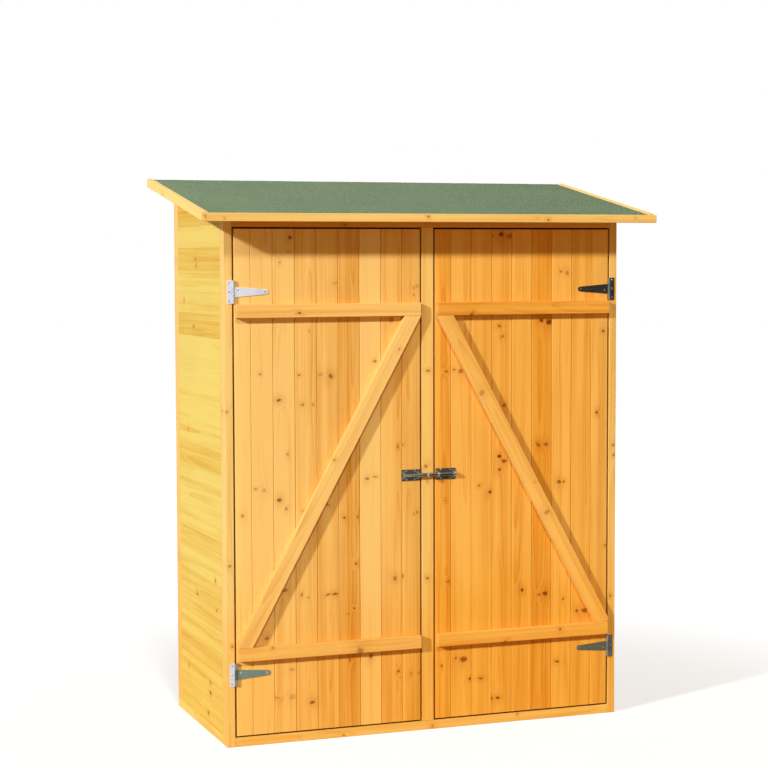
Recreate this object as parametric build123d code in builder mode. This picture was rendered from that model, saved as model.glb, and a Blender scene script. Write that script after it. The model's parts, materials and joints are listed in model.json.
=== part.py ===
# Wooden tool shed with a lean-to roof and two ledged and braced doors.
# Millimetres. X runs to the right along the front, Y to the back, Z up from the ground.
# The origin is on the ground, under the middle of the roof's outline.
import os
from math import cos, radians, tan
from build123d import *

# Whole shed
wall_width = 1224.0
wall_depth = 560.0
shed_height = 1629.0
side_overhang = 83.0
front_overhang = 97.0
roof_pitch = 10.0

# Timber sections
post_face = 24.0
post_depth = 45.0
mullion_width = 37.0
mullion_depth = 24.0
sill_height = 26.0
lintel_height = 38.0
lintel_depth = 24.0
board_thickness = 12.0
top_rail_height = 45.0
top_rail_thickness = 24.0
floor_board_thickness = 12.0
floor_bearer_width = 45.0
rafter_width = 24.0
rafter_height = 38.0
rafter_spacing = 400.0

# Roof covering and edge boards
deck_thickness = 12.0
felt_thickness = 2.5
edge_board_thickness = 18.0
fascia_height = 23.5
barge_height = 25.0
barge_lip = 2.0

# Doors
door_gap = 5.0
ledge_height = 38.0
ledge_thickness = 17.0
ledge_inset = 2.0
top_ledge_drop = 212.0
bottom_ledge_rise = 215.5
brace_width = 44.0
brace_foot = 42.0

# Strap hinges
upper_hinge_drop = 177.0
lower_hinge_rise = 177.0
hinge_metal = 1.8
hinge_plate_height = 66.0
hinge_plate_width = 18.0
pin_radius = 1.6
barrel_radius = 3.5
pin_clearance = 0.08
knuckle_gap = 0.4
strap_root_height = 28.0
strap_root_length = 10.0
strap_length = 102.0
strap_tip_height = 13.0

# Sliding bolt
bolt_height = 756.0
bolt_plate_thickness = 1.5
bolt_plate_height = 33.0
bolt_plate_length = 58.0
keeper_plate_length = 63.0
bolt_plate_inset = 1.0
rod_radius = 5.0
rod_clearance = 0.1
staple_metal = 1.5
staple_width = 8.0
staple_foot = 6.0
staple_inset = 2.0
guide_slot = 6.6
rod_end_inset = 1.5
knob_stem_radius = 2.5
knob_radius = 5.5
knob_height = 6.0
knob_reach = 9.0
knob_offset = -3.0

# Places that follow from the sizes above
slope = tan(radians(roof_pitch))
upright = 1.0 / cos(radians(roof_pitch))
roof_length = wall_width + 2 * side_overhang
roof_depth = wall_depth + front_overhang
roof_front = -roof_depth / 2
wall_front = roof_front + front_overhang
wall_back = wall_front + wall_depth
wall_side = wall_width / 2
opening_side = wall_side - post_face
rail_side = wall_side - board_thickness
rail_inside = rail_side - top_rail_thickness
side_front = wall_front + post_depth
side_back = wall_back - post_depth
back_rail_back = wall_back - board_thickness
back_rail_front = back_rail_back - top_rail_thickness
barge_outside = roof_length / 2
deck_side = barge_outside - edge_board_thickness
deck_front = roof_front + edge_board_thickness
door_hinge_edge = opening_side - door_gap
door_free_edge = mullion_width / 2 + door_gap
hinge_axis_side = opening_side - door_gap / 2
hinge_axis_front = wall_front - barrel_radius
rod_axis_front = wall_front - bolt_plate_thickness - staple_metal - rod_clearance - rod_radius


def save(piece, label):
    """Name a finished piece and write it out."""
    piece.part.label = label
    export_step(piece.part, f"parts/{label}.step")


def felt_top(y):
    """Height of the felt's upper face at a place from front to back."""
    return shed_height - barge_lip * upright - (wall_back - y) * slope


def deck_under(y):
    """Height of the roof boards' underside at a place from front to back."""
    return felt_top(y) - (felt_thickness + deck_thickness) * upright


door_head_height = deck_under(wall_front) - lintel_height
door_bottom = sill_height + door_gap
door_top = door_head_height - door_gap
top_ledge_bottom = door_top - top_ledge_drop - ledge_height
bottom_ledge_bottom = door_bottom + bottom_ledge_rise
upper_hinge_height = door_top - upper_hinge_drop
lower_hinge_height = door_bottom + lower_hinge_rise

os.makedirs("parts", exist_ok=True)


def side_profile(outline, x_low, x_high):
    """A timber whose outline is drawn on the side view, from x_low to x_high."""
    with BuildPart() as timber:
        with BuildSketch(Plane.YZ.offset(x_low)):
            with BuildLine():
                Polyline(*outline, close=True)
            make_face()
        extrude(amount=x_high - x_low)
    return timber


def front_profile(outline, y_back, thickness):
    """A timber whose outline is drawn on the front view, standing forward of y_back."""
    with BuildPart() as timber:
        with BuildSketch(Plane.XZ.offset(-y_back)):
            with BuildLine():
                Polyline(*outline, close=True)
            make_face()
        extrude(amount=thickness)
    return timber


def block(x, y, z):
    """A square-cut timber between pairs of places along X, Y and Z."""
    with BuildPart() as timber:
        with BuildSketch(Plane.XY.offset(z[0])):
            with Locations(((x[0] + x[1]) / 2, (y[0] + y[1]) / 2)):
                Rectangle(x[1] - x[0], y[1] - y[0])
        extrude(amount=z[1] - z[0])
    return timber


def under_roof(y_front, y_back, bottom):
    """Side view outline of a timber that is cut off under the sloping roof boards."""
    return [
        (y_front, bottom),
        (y_back, bottom),
        (y_back, deck_under(y_back)),
        (y_front, deck_under(y_front)),
    ]


# Posts, sills and rails
for hand, side in (("left", -1), ("right", 1)):
    outer, inner = sorted((side * wall_side, side * opening_side))
    front_post = side_profile(under_roof(wall_front, side_front, 0), outer, inner)
    save(front_post, f"front_{hand}_post")
    back_post = side_profile(under_roof(side_back, wall_back, sill_height), outer, inner)
    save(back_post, f"back_{hand}_post")

    outer, inner = sorted((side * wall_side, side * rail_side))
    wall = side_profile(under_roof(side_front, side_back, sill_height), outer, inner)
    save(wall, f"{hand}_wall")

    outer, inner = sorted((side * wall_side, side * rail_inside))
    sill = block((outer, inner), (side_front, wall_back), (0, sill_height))
    save(sill, f"{hand}_sill")
    outer, inner = sorted((side * rail_side, side * rail_inside))
    rail_outline = [
        (side_front, deck_under(side_front) - top_rail_height),
        (side_back, deck_under(side_back) - top_rail_height),
        (side_back, deck_under(side_back)),
        (side_front, deck_under(side_front)),
    ]
    save(side_profile(rail_outline, outer, inner), f"{hand}_top_rail")

front_sill = block((-opening_side, opening_side), (wall_front, side_front), (0, sill_height))
save(front_sill, "front_sill")
back_sill = block((-rail_inside, rail_inside), (back_rail_front, wall_back), (0, sill_height))
save(back_sill, "back_sill")
mullion = block(
    (-mullion_width / 2, mullion_width / 2),
    (wall_front, wall_front + mullion_depth),
    (sill_height, door_head_height),
)
save(mullion, "mullion")
lintel = side_profile(
    under_roof(wall_front, wall_front + lintel_depth, door_head_height),
    -opening_side,
    opening_side,
)
save(lintel, "lintel")
back_rail_bottom = deck_under(back_rail_front) - top_rail_height
back_top_rail = side_profile(
    under_roof(back_rail_front, back_rail_back, back_rail_bottom), -opening_side, opening_side
)
save(back_top_rail, "back_top_rail")
back_wall = side_profile(
    under_roof(back_rail_back, wall_back, sill_height), -opening_side, opening_side
)
save(back_wall, "back_wall")
back_batten = block(
    (-post_depth / 2, post_depth / 2),
    (back_rail_front, back_rail_back),
    (sill_height, back_rail_bottom),
)
save(back_batten, "back_batten")

# Floor
floor_underside = sill_height - floor_board_thickness
floor_boards = block(
    (-rail_inside, rail_inside), (side_front, back_rail_front), (floor_underside, sill_height)
)
save(floor_boards, "floor_boards")
bearer_travel = back_rail_front - side_front - floor_bearer_width
with BuildPart() as floor_bearers:
    with BuildSketch(Plane.XY):
        with Locations((0, (side_front + back_rail_front) / 2)):
            with GridLocations(0, bearer_travel / 2, 1, 3):
                Rectangle(2 * rail_inside, floor_bearer_width)
    extrude(amount=floor_underside)
save(floor_bearers, "floor_bearers")

# Roof
rafter_front = wall_front + lintel_depth
rafter_outline = [
    (rafter_front, deck_under(rafter_front) - rafter_height * upright),
    (back_rail_front, deck_under(back_rail_front) - rafter_height * upright),
    (back_rail_front, deck_under(back_rail_front)),
    (rafter_front, deck_under(rafter_front)),
]
with BuildPart() as rafters:
    for middle in (-rafter_spacing / 2, rafter_spacing / 2):
        with BuildSketch(Plane.YZ.offset(middle - rafter_width / 2)):
            with BuildLine():
                Polyline(*rafter_outline, close=True)
            make_face()
        extrude(amount=rafter_width)
save(rafters, "rafters")


def roof_sheet(y_front, top_drop, thickness, x_low, x_high):
    """A sheet lying on the roof slope, its upper face top_drop below the felt's."""
    upper = top_drop * upright
    lower = (top_drop + thickness) * upright
    outline = [
        (y_front, felt_top(y_front) - lower),
        (wall_back, felt_top(wall_back) - lower),
        (wall_back, felt_top(wall_back) - upper),
        (y_front, felt_top(y_front) - upper),
    ]
    return side_profile(outline, x_low, x_high)


save(roof_sheet(deck_front, felt_thickness, deck_thickness, -deck_side, deck_side), "roof_boards")
save(roof_sheet(deck_front, 0, felt_thickness, -deck_side, deck_side), "roof_felt")
for hand, side in (("left", -1), ("right", 1)):
    outer, inner = sorted((side * barge_outside, side * deck_side))
    barge = roof_sheet(deck_front, -barge_lip, barge_height, outer, inner)
    save(barge, f"{hand}_barge_board")
fascia_top = felt_top(roof_front) + barge_lip * upright
fascia = block(
    (-barge_outside, barge_outside),
    (roof_front, deck_front),
    (fascia_top - fascia_height, fascia_top),
)
save(fascia, "fascia_board")

# Doors
for hand, side in (("left", -1), ("right", 1)):
    edges = sorted((side * door_hinge_edge, side * door_free_edge))
    boards = block(edges, (wall_front, wall_front + board_thickness), (door_bottom, door_top))
    save(boards, f"{hand}_door_boards")

    ledge_hinge_end = door_hinge_edge - ledge_inset
    ledge_free_end = door_free_edge + ledge_inset
    ends = sorted((side * ledge_hinge_end, side * ledge_free_end))
    ledge_depth = (wall_front - ledge_thickness, wall_front)
    for place, bottom in (("top", top_ledge_bottom), ("bottom", bottom_ledge_bottom)):
        ledge = block(ends, ledge_depth, (bottom, bottom + ledge_height))
        save(ledge, f"{hand}_door_{place}_ledge")

    foot_level = bottom_ledge_bottom + ledge_height
    foot_toe = ledge_hinge_end - brace_foot
    brace_rise = (top_ledge_bottom - foot_level) / (foot_toe - ledge_free_end)
    level_width = brace_width * (1 + brace_rise**-2) ** 0.5
    heel_height = foot_level + (level_width - brace_foot) * brace_rise
    brace_outline = [
        (side * foot_toe, foot_level),
        (side * ledge_free_end, top_ledge_bottom),
        (side * (ledge_free_end + level_width), top_ledge_bottom),
        (side * ledge_hinge_end, heel_height),
        (side * ledge_hinge_end, foot_level),
    ]
    save(front_profile(brace_outline, wall_front, ledge_thickness), f"{hand}_door_brace")


def hinge_plate(side, middle):
    """Post leaf of a strap hinge, with its two outer knuckles and the pin."""
    knuckle_height = (hinge_plate_height - strap_root_height) / 2 - knuckle_gap
    axis = (side * hinge_axis_side, hinge_axis_front)
    bottom = middle - hinge_plate_height / 2
    leaf_middle = side * (hinge_axis_side + hinge_plate_width / 2)
    leaf_y = wall_front - hinge_metal / 2
    notch = barrel_radius + knuckle_gap
    with BuildPart() as leaf:
        with BuildSketch(Plane.XY.offset(bottom)):
            with Locations((leaf_middle, leaf_y)):
                Rectangle(hinge_plate_width, hinge_metal)
        extrude(amount=hinge_plate_height)
        with BuildSketch(Plane.XY.offset(bottom + knuckle_height)):
            with Locations((side * (hinge_axis_side + notch / 2), leaf_y)):
                Rectangle(notch, 2 * hinge_metal)
        extrude(amount=hinge_plate_height - 2 * knuckle_height, mode=Mode.SUBTRACT)
        for level in (bottom, bottom + hinge_plate_height - knuckle_height):
            with BuildSketch(Plane.XY.offset(level)):
                with Locations(axis):
                    Circle(barrel_radius)
            extrude(amount=knuckle_height)
        with BuildSketch(Plane.XY.offset(bottom)):
            with Locations(axis):
                Circle(pin_radius)
        extrude(amount=hinge_plate_height)
    return leaf


def hinge_strap(side, middle):
    """Door leaf of a strap hinge: middle knuckle, short square root and tapering strap."""
    axis_x = side * hinge_axis_side
    root_end = side * (hinge_axis_side - strap_root_length)
    tip_middle = side * (hinge_axis_side - strap_length + strap_tip_height / 2)
    tip_end = side * (hinge_axis_side - strap_length)
    half_root = strap_root_height / 2
    half_tip = strap_tip_height / 2
    with BuildPart() as strap:
        with BuildSketch(Plane.XZ.offset(-wall_front)):
            with BuildLine():
                Polyline(
                    (tip_middle, middle - half_tip),
                    (root_end, middle - half_root),
                    (axis_x, middle - half_root),
                    (axis_x, middle + half_root),
                    (root_end, middle + half_root),
                    (tip_middle, middle + half_tip),
                )
                ThreePointArc(
                    (tip_middle, middle + half_tip), (tip_end, middle), (tip_middle, middle - half_tip)
                )
            make_face()
        extrude(amount=hinge_metal)
        with BuildSketch(Plane.XY.offset(middle - half_root)):
            with Locations((axis_x, hinge_axis_front)):
                Circle(barrel_radius)
        extrude(amount=strap_root_height)
        with BuildSketch(Plane.XY.offset(middle - half_root)):
            with Locations((axis_x, hinge_axis_front)):
                Circle(pin_radius + pin_clearance)
        extrude(amount=strap_root_height, mode=Mode.SUBTRACT)
    return strap


for hand, side in (("left", -1), ("right", 1)):
    for place, middle in (("upper", upper_hinge_height), ("lower", lower_hinge_height)):
        save(hinge_plate(side, middle), f"{hand}_{place}_hinge_plate")
        save(hinge_strap(side, middle), f"{hand}_{place}_hinge_strap")


def staple_section(slot):
    """Section of a staple over the rod, on the side view, open to the front if it has a slot."""
    bore = rod_radius + rod_clearance
    outside = bore + staple_metal
    plate_face = wall_front - bolt_plate_thickness
    with Locations((rod_axis_front, bolt_height)):
        Circle(outside)
    with Locations(((rod_axis_front + plate_face) / 2, bolt_height)):
        Rectangle(plate_face - rod_axis_front, 2 * outside)
    with Locations((plate_face - staple_metal / 2, bolt_height)):
        Rectangle(staple_metal, 2 * (outside + staple_foot))
    with Locations((rod_axis_front, bolt_height)):
        Circle(bore, mode=Mode.SUBTRACT)
    if slot:
        with Locations((rod_axis_front - outside / 2, bolt_height)):
            Rectangle(outside, slot, mode=Mode.SUBTRACT)


def bolt_fitting(x_low, x_high, slot):
    """Plate on a door with a staple near each end."""
    with BuildPart() as fitting:
        with BuildSketch(Plane.XZ.offset(-wall_front)):
            with Locations(((x_low + x_high) / 2, bolt_height)):
                Rectangle(x_high - x_low, bolt_plate_height)
        extrude(amount=bolt_plate_thickness)
        for end in (x_low + staple_inset, x_high - staple_inset - staple_width):
            with BuildSketch(Plane.YZ.offset(end)):
                staple_section(slot)
            extrude(amount=staple_width)
    return fitting


bolt_plate_end = -door_free_edge - bolt_plate_inset
save(bolt_fitting(bolt_plate_end - bolt_plate_length, bolt_plate_end, guide_slot), "bolt_plate")
keeper_start = door_free_edge + bolt_plate_inset
keeper_end = keeper_start + keeper_plate_length
save(bolt_fitting(keeper_start, keeper_end, 0), "keeper_plate")

rod_start = bolt_plate_end - bolt_plate_length + rod_end_inset
rod_end = keeper_end - rod_end_inset
with BuildPart() as bolt_rod:
    with BuildSketch(Plane.YZ.offset(rod_start)):
        with Locations((rod_axis_front, bolt_height)):
            Circle(rod_radius)
    extrude(amount=rod_end - rod_start)
    with BuildSketch(Plane.XZ.offset(-rod_axis_front)):
        with Locations((knob_offset, bolt_height)):
            Circle(knob_stem_radius)
    extrude(amount=knob_reach)
    with BuildSketch(Plane.XZ.offset(knob_reach - rod_axis_front)):
        with Locations((knob_offset, bolt_height)):
            Circle(knob_radius)
    extrude(amount=knob_height)
save(bolt_rod, "bolt_rod")
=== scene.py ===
"""Boards, felt and ironwork of a small lean-to tool shed, built around its packed frame."""

import json
import random
from math import asin, atan2, ceil, cos, hypot, pi, radians, sin, tan

import bmesh
import bpy
import numpy as np
from bpy.props import FloatProperty, FloatVectorProperty, IntProperty, PointerProperty
from mathutils import Matrix, Vector

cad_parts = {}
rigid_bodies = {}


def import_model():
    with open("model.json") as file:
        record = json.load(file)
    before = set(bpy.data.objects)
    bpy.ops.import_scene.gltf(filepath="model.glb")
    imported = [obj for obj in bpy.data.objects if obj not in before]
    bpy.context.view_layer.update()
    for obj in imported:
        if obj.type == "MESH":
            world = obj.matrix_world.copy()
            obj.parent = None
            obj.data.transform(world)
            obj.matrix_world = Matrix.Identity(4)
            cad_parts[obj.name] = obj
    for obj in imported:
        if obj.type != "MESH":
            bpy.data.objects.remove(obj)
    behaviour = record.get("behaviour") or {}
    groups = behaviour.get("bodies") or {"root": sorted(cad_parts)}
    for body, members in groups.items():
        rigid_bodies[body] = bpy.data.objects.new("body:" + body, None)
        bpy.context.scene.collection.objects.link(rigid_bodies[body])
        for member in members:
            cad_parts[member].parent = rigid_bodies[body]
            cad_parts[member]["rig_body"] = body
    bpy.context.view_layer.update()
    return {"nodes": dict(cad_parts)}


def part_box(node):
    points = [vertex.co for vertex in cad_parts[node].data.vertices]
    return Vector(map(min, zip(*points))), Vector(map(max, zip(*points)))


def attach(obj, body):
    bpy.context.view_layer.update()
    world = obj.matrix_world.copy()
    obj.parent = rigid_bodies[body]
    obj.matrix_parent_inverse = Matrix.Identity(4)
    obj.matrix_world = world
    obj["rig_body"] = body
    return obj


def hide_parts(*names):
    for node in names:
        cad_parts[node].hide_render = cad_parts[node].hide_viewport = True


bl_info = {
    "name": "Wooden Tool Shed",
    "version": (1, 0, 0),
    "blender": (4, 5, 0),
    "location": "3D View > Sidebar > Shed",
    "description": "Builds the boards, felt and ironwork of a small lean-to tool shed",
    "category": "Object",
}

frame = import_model()

RIGHT = Vector((1, 0, 0))
BACK = Vector((0, 1, 0))
UP = Vector((0, 0, 1))
SHARP = radians(30)
KNOT_MARKS = 3


def length(name, description, default):
    """A property that holds a size in metres."""
    return FloatProperty(name=name, description=description, default=default, unit="LENGTH", precision=4)


def angle(name, description, default):
    """A property that holds an angle."""
    return FloatProperty(name=name, description=description, default=default, subtype="ANGLE")


def heading(name, description, default):
    """A property that holds the way that a light travels."""
    return FloatVectorProperty(name=name, description=description, default=default, subtype="DIRECTION")


def brightness(name, description, default):
    """A property that holds the strength of a light."""
    return FloatProperty(name=name, description=description, default=default, min=0)


def colour(name, description, default):
    """A property that holds a colour."""
    return FloatVectorProperty(
        name=name, description=description, default=default, subtype="COLOR", size=3, min=0, max=2
    )


class ShedBoards(bpy.types.PropertyGroup):
    """Widths of the boards and timbers, and how their edges are worked."""

    roof_pitch: angle("Roof pitch", "Slope of the roof", radians(10))
    rafter: length("Rafter", "Width of a rafter", 0.024)
    bearer: length("Bearer", "Width of a floor bearer", 0.045)
    brace: length("Brace", "Width of a door's brace", 0.044)
    brace_foot: length("Brace foot", "Width of the brace's foot from the door's hinge edge", 0.042)
    door_width: length("Door board", "Cover width of a door board", 0.065)
    wall_width: length("Wall board", "Cover width of a wall board", 0.0645)
    wall_foot: length("Lowest wall board", "Cover width of the ripped lowest wall board", 0.0375)
    floor_width: length("Floor board", "Cover width of a floor board", 0.096)
    roof_width: length("Roof board", "Cover width of a roof board", 0.0815)
    left_first: length("Left door's first board", "Width of the board at its hinges", 0.0485)
    right_first: length("Right door's first board", "Width of the board at its free edge", 0.05)
    groove: length("Door groove", "Depth of the chamfer along a door board's face", 0.0013)
    hairline: length("Wall groove", "Depth of the chamfer along a wall board's face", 0.0002)
    door_joint: length("Door joint", "Gap between two door boards in front of the tongue", 0.0005)
    slack: length("Slack", "How far a door board may sit to one side", 0.00025)
    door_edge: length("Door edge", "Rounding of a door's upright edges", 0.0016)
    wall_joint: length("Wall joint", "Gap between two wall boards in front of the tongue", 0.0001)
    tongue: length("Tongue", "Thickness of the tongue in a joint", 0.004)
    eased: length("Eased edge", "Rounding of planed timber edges", 0.0014)
    crisp: length("Crisp edge", "Rounding of machined board edges", 0.0002)
    section: length("Section", "Length of board between two rings of vertices", 0.11)


class ShedRoof(bpy.types.PropertyGroup):
    """Sizes of the felt and its nails."""

    ripple: length("Ripple", "How far the felt lifts and dips", 0.0011)
    ripple_size: length("Ripple size", "Distance from one rise of the felt to the next", 0.16)
    mesh: length("Felt mesh", "Distance between the felt's vertices", 0.012)
    nail_radius: length("Nail head", "Radius of a clout nail's head", 0.0035)
    nail_height: length("Nail head height", "How far a clout nail's head stands on the felt", 0.0007)
    nail_spacing: length("Nail spacing", "Distance between nails along an edge", 0.088)
    nail_inset: length("Nail inset", "Distance of the nails from the felt's edge", 0.012)


class ShedIronwork(bpy.types.PropertyGroup):
    """Sizes of the hinges, the bolt and their screws."""

    metal: length("Hinge metal", "Thickness of the hinge plates", 0.0018)
    barrel: length("Hinge barrel", "Radius of the hinge's knuckles", 0.0035)
    pin: length("Hinge pin", "Radius of the hinge pin", 0.0016)
    root_height: length("Root height", "Height of the strap at its knuckle", 0.028)
    root_length: length("Root length", "Length of the strap's square root", 0.010)
    tip_height: length("Tip height", "Height of the strap at its tip", 0.013)
    knuckle_gap: length("Knuckle gap", "Gap between two knuckles", 0.0004)
    corner: length("Corner", "Rounding of a plate's corners", 0.002)
    leaf_screw: length("Leaf screws", "Distance of a leaf's screws from the hinge's axis", 0.0115)
    leaf_spacing: length("Leaf screw spacing", "Distance between two screws of a leaf", 0.026)
    root_screw: length("Root screw", "Distance of the strap's first screw from the hinge's axis", 0.0135)
    root_rise: length("Root screw rise", "Height of that screw above the strap's middle", 0.0055)
    tip_screw: length("Tip screw", "Distance of the strap's last screw from its tip", 0.0095)
    plate: length("Bolt plate", "Thickness of the bolt's plates", 0.0015)
    plate_screw: length("Plate screws", "Distance of the bolt's screws from its axis", 0.0115)
    screw_inset: length("Screw inset", "Distance of the bolt's screws from its staples", 0.006)
    staple_width: length("Staple width", "Width of a staple along the rod", 0.008)
    staple_inset: length("Staple inset", "Distance of a staple from the plate's end", 0.002)
    staple_foot: length("Staple foot", "Length of a staple's foot on the plate", 0.006)
    rod: length("Rod", "Radius of the bolt's rod", 0.005)
    rod_end: length("Rod end", "Chamfer of the rod's ends", 0.0008)
    bore_room: length("Bore room", "Gap between the rod and its staples", 0.0001)
    slot: length("Guide slot", "Opening of a guide that the knob slides through", 0.0066)
    knob_stem: length("Knob stem", "Radius of the knob's stem", 0.0025)
    knob: length("Knob", "Radius of the knob", 0.0055)
    knob_height: length("Knob height", "Length of the knob beyond its stem", 0.006)
    knob_edge: length("Knob edge", "Rounding of the knob", 0.0017)
    knob_place: length("Knob place", "Where the knob stands, measured from the shed's middle", -0.003)
    screw: length("Screw", "Radius of a screw's head", 0.0029)
    screw_height: length("Screw height", "How far a screw's head stands out", 0.0008)
    nail: length("Nail", "Radius of a door nail's head", 0.0022)
    metal_edge: length("Metal edge", "Rounding of sheet metal edges", 0.0003)


class ShedStains(bpy.types.PropertyGroup):
    """Colours of the timber, the felt and the metal."""

    door_pale: colour("Door, pale", "Early wood of the doors", (0.92, 0.57, 0.175))
    door_rich: colour("Door, rich", "Late wood of the doors", (0.68, 0.275, 0.022))
    wall_pale: colour("Wall, pale", "Early wood of the walls", (0.73, 0.56, 0.130))
    wall_rich: colour("Wall, rich", "Late wood of the walls", (0.61, 0.32, 0.012))
    frame_pale: colour("Frame, pale", "Early wood of the posts and rails", (0.90, 0.61, 0.20))
    frame_rich: colour("Frame, rich", "Late wood of the posts and rails", (0.74, 0.33, 0.032))
    warm: colour("Warm stain", "Tinge of the warmer boards", (0.99, 0.76, 0.33))
    # The cut tinge paints shade on a timber's sides and darkens its ends, which take more stain.
    cut: colour("Cut wood", "Tinge of edges and ends, which take more stain", (0.66, 0.63, 0.55))
    deep: colour("Deep", "Wood round a knot", (0.50, 0.155, 0.005))
    knot_heart: colour("Knot heart", "Dark middle of a knot", (0.085, 0.013, 0.0))
    knot_rim: colour("Knot rim", "Edge of a knot", (0.24, 0.058, 0.001))
    felt: colour("Felt", "Mineral grit of the felt", (0.175, 0.262, 0.142))
    felt_dark: colour("Felt, dark", "Bitumen between the grit", (0.076, 0.128, 0.060))
    felt_light: colour("Felt, light", "Palest grains of the grit", (0.44, 0.52, 0.36))
    zinc: colour("Zinc", "Zinc-plated hinges", (0.86, 0.83, 0.89))
    bolt: colour("Bolt", "Plates and screws", (0.50, 0.49, 0.45))
    rod: colour("Rod", "Rod and knob of the bolt", (0.78, 0.77, 0.71))
    aged: colour("Aged", "Plating that has yellowed", (0.13, 0.13, 0.045))
    # Tarnish also paints the dark reflections of the bolt and the right hinges.
    tarnish_and_dark_reflection: colour("Tarnish", "Steel where the plating has dulled", (0.060, 0.050, 0.034))
    # The blue-green cast also paints a green reflection on the lower left hinge's strap.
    passivate_and_green_reflection: colour("Passivate", "Blue-green cast of the plating", (0.15, 0.27, 0.19))
    floor: colour("Floor", "Studio floor", (0.95, 0.95, 0.95))
    floor_bounce: colour("Floor light", "Light that the floor throws back", (0.43, 0.29, 0.15))
    sky: colour("Sky", "Light all round", (1.0, 0.77, 0.49))
    card: colour("Card", "Dark card that shows in the metal", (0.012, 0.014, 0.014))


class ShedStage(bpy.types.PropertyGroup):
    """Camera and light of the studio."""

    camera_place: FloatVectorProperty(
        name="Camera",
        description="Place of the camera",
        default=(-2.0868, -5.5313, 1.3980),
        subtype="TRANSLATION",
    )
    camera_turn: angle("Turn", "Camera's turn to the right", 0.3561)
    camera_dip: angle("Dip", "Camera's dip below level", 0.0670)
    camera_roll: angle("Roll", "Camera's roll", -0.0024)
    lens: FloatProperty(name="Lens", description="Focal length", default=91.79, unit="CAMERA")
    shift: FloatVectorProperty(
        name="Shift", description="Shift of the lens", default=(-0.0084, 0.0023), size=2
    )
    key_travel: heading("Key light", "Direction of the key light", (0.865, 0.376, -0.376))
    key_strength: brightness("Key strength", "Strength of the key light", 3.4)
    key_colour: colour("Key colour", "Colour of the key light", (0.95, 1.0, 1.05))
    key_softness: angle("Key softness", "Angle that the key light covers", radians(3.6))
    front_travel: heading("Front light", "Direction of the front light", (0.10, 0.70, -0.70))
    front_strength: brightness("Front strength", "Strength of the front light", 1.36)
    front_colour: colour("Front colour", "Colour of the front light", (1.02, 1.02, 0.99))
    front_softness: angle("Front softness", "Angle that the front light covers", radians(7))
    sky_strength: brightness("Sky", "Strength of the light all round", 0.30)
    floor_reach: IntProperty(name="Floor", description="Metres of floor round the shed", default=12)


class Value:
    """A number, vector or colour of a shader, which can be written into expressions."""

    def __init__(self, shader, socket):
        self.shader = shader
        self.socket = socket

    def __add__(self, other):
        return self.shader.maths("ADD", self, other)

    def __radd__(self, other):
        return self.shader.maths("ADD", other, self)

    def __sub__(self, other):
        return self.shader.maths("SUBTRACT", self, other)

    def __rsub__(self, other):
        return self.shader.maths("SUBTRACT", other, self)

    def __mul__(self, other):
        return self.shader.maths("MULTIPLY", self, other)

    def __rmul__(self, other):
        return self.shader.maths("MULTIPLY", other, self)

    def __truediv__(self, other):
        return self.shader.maths("DIVIDE", self, other)

    def __rtruediv__(self, other):
        return self.shader.maths("DIVIDE", other, self)

    def __pow__(self, other):
        return self.shader.maths("POWER", self, other)


class Shader:
    """A node tree that is written as expressions."""

    def __init__(self, tree):
        self.tree = tree

    def node(self, kind, settings=None, inputs=None, output=0):
        """A node of a kind, with its settings made first and then its sockets fed."""
        made = self.tree.nodes.new(kind)
        for key, value in (settings or {}).items():
            setattr(made, key, value)
        for key, value in (inputs or {}).items():
            self.feed(made.inputs[key], value)
        return Value(self, made.outputs[output])

    def feed(self, socket, value):
        """Link a value to a socket, or set a number or colour on it."""
        if isinstance(value, Value):
            self.tree.links.new(value.socket, socket)
        elif socket.type == "RGBA":
            socket.default_value = (*value, 1)
        else:
            socket.default_value = value

    def maths(self, operation, *values):
        """A Math node."""
        return self.node("ShaderNodeMath", {"operation": operation}, dict(enumerate(values)))

    def larger(self, *values):
        """The largest of several values."""
        result = values[0]
        for value in values[1:]:
            result = self.maths("MAXIMUM", result, value)
        return result

    def step(self, value, low, high):
        """A smooth rise from 0 to 1 as a value goes from low to high."""
        limits = {"Value": value, "From Min": low, "From Max": high}
        return self.node("ShaderNodeMapRange", {"interpolation_type": "SMOOTHSTEP"}, limits)

    def mix(self, amount, first, second, blend="MIX"):
        """Two colours mixed."""
        settings = {"data_type": "RGBA", "blend_type": blend}
        return self.node("ShaderNodeMix", settings, {0: amount, 6: first, 7: second}, output=2)

    def stretched(self, vector, *scales):
        """A vector scaled along its axes."""
        return self.node("ShaderNodeVectorMath", {"operation": "MULTIPLY"}, {0: vector, 1: scales})

    def parts(self, vector):
        """The three numbers of a vector."""
        split = self.node("ShaderNodeSeparateXYZ", inputs={0: vector}).socket.node
        return [Value(self, socket) for socket in split.outputs]

    def noise(self, vector, scale, detail=2.0):
        """Noise from 0 to 1 on a vector."""
        return self.node("ShaderNodeTexNoise", inputs={"Vector": vector, "Scale": scale, "Detail": detail})

    def mark(self, name):
        """A vector that a mesh carries."""
        return self.node("ShaderNodeAttribute", {"attribute_name": name}, output=1)

    def place(self):
        """A point's place in the shed."""
        return self.node("ShaderNodeTexCoord", output=3)


class Finish(Shader):
    """A material with one principled surface."""

    def __init__(self, name):
        self.material = bpy.data.materials.new(name)
        self.material.use_nodes = True
        super().__init__(self.material.node_tree)
        self.surface = self.tree.nodes["Principled BSDF"]

    def set(self, **values):
        """Feed sockets of the surface, an underscore standing for a space."""
        for name, value in values.items():
            self.feed(self.surface.inputs[name.replace("_", " ")], value)

    def relief(self, height, depth, strength):
        """Raise the surface by a height from 0 to 1."""
        inputs = {"Strength": strength, "Distance": depth, "Height": height}
        self.set(Normal=self.node("ShaderNodeBump", inputs=inputs))


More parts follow.
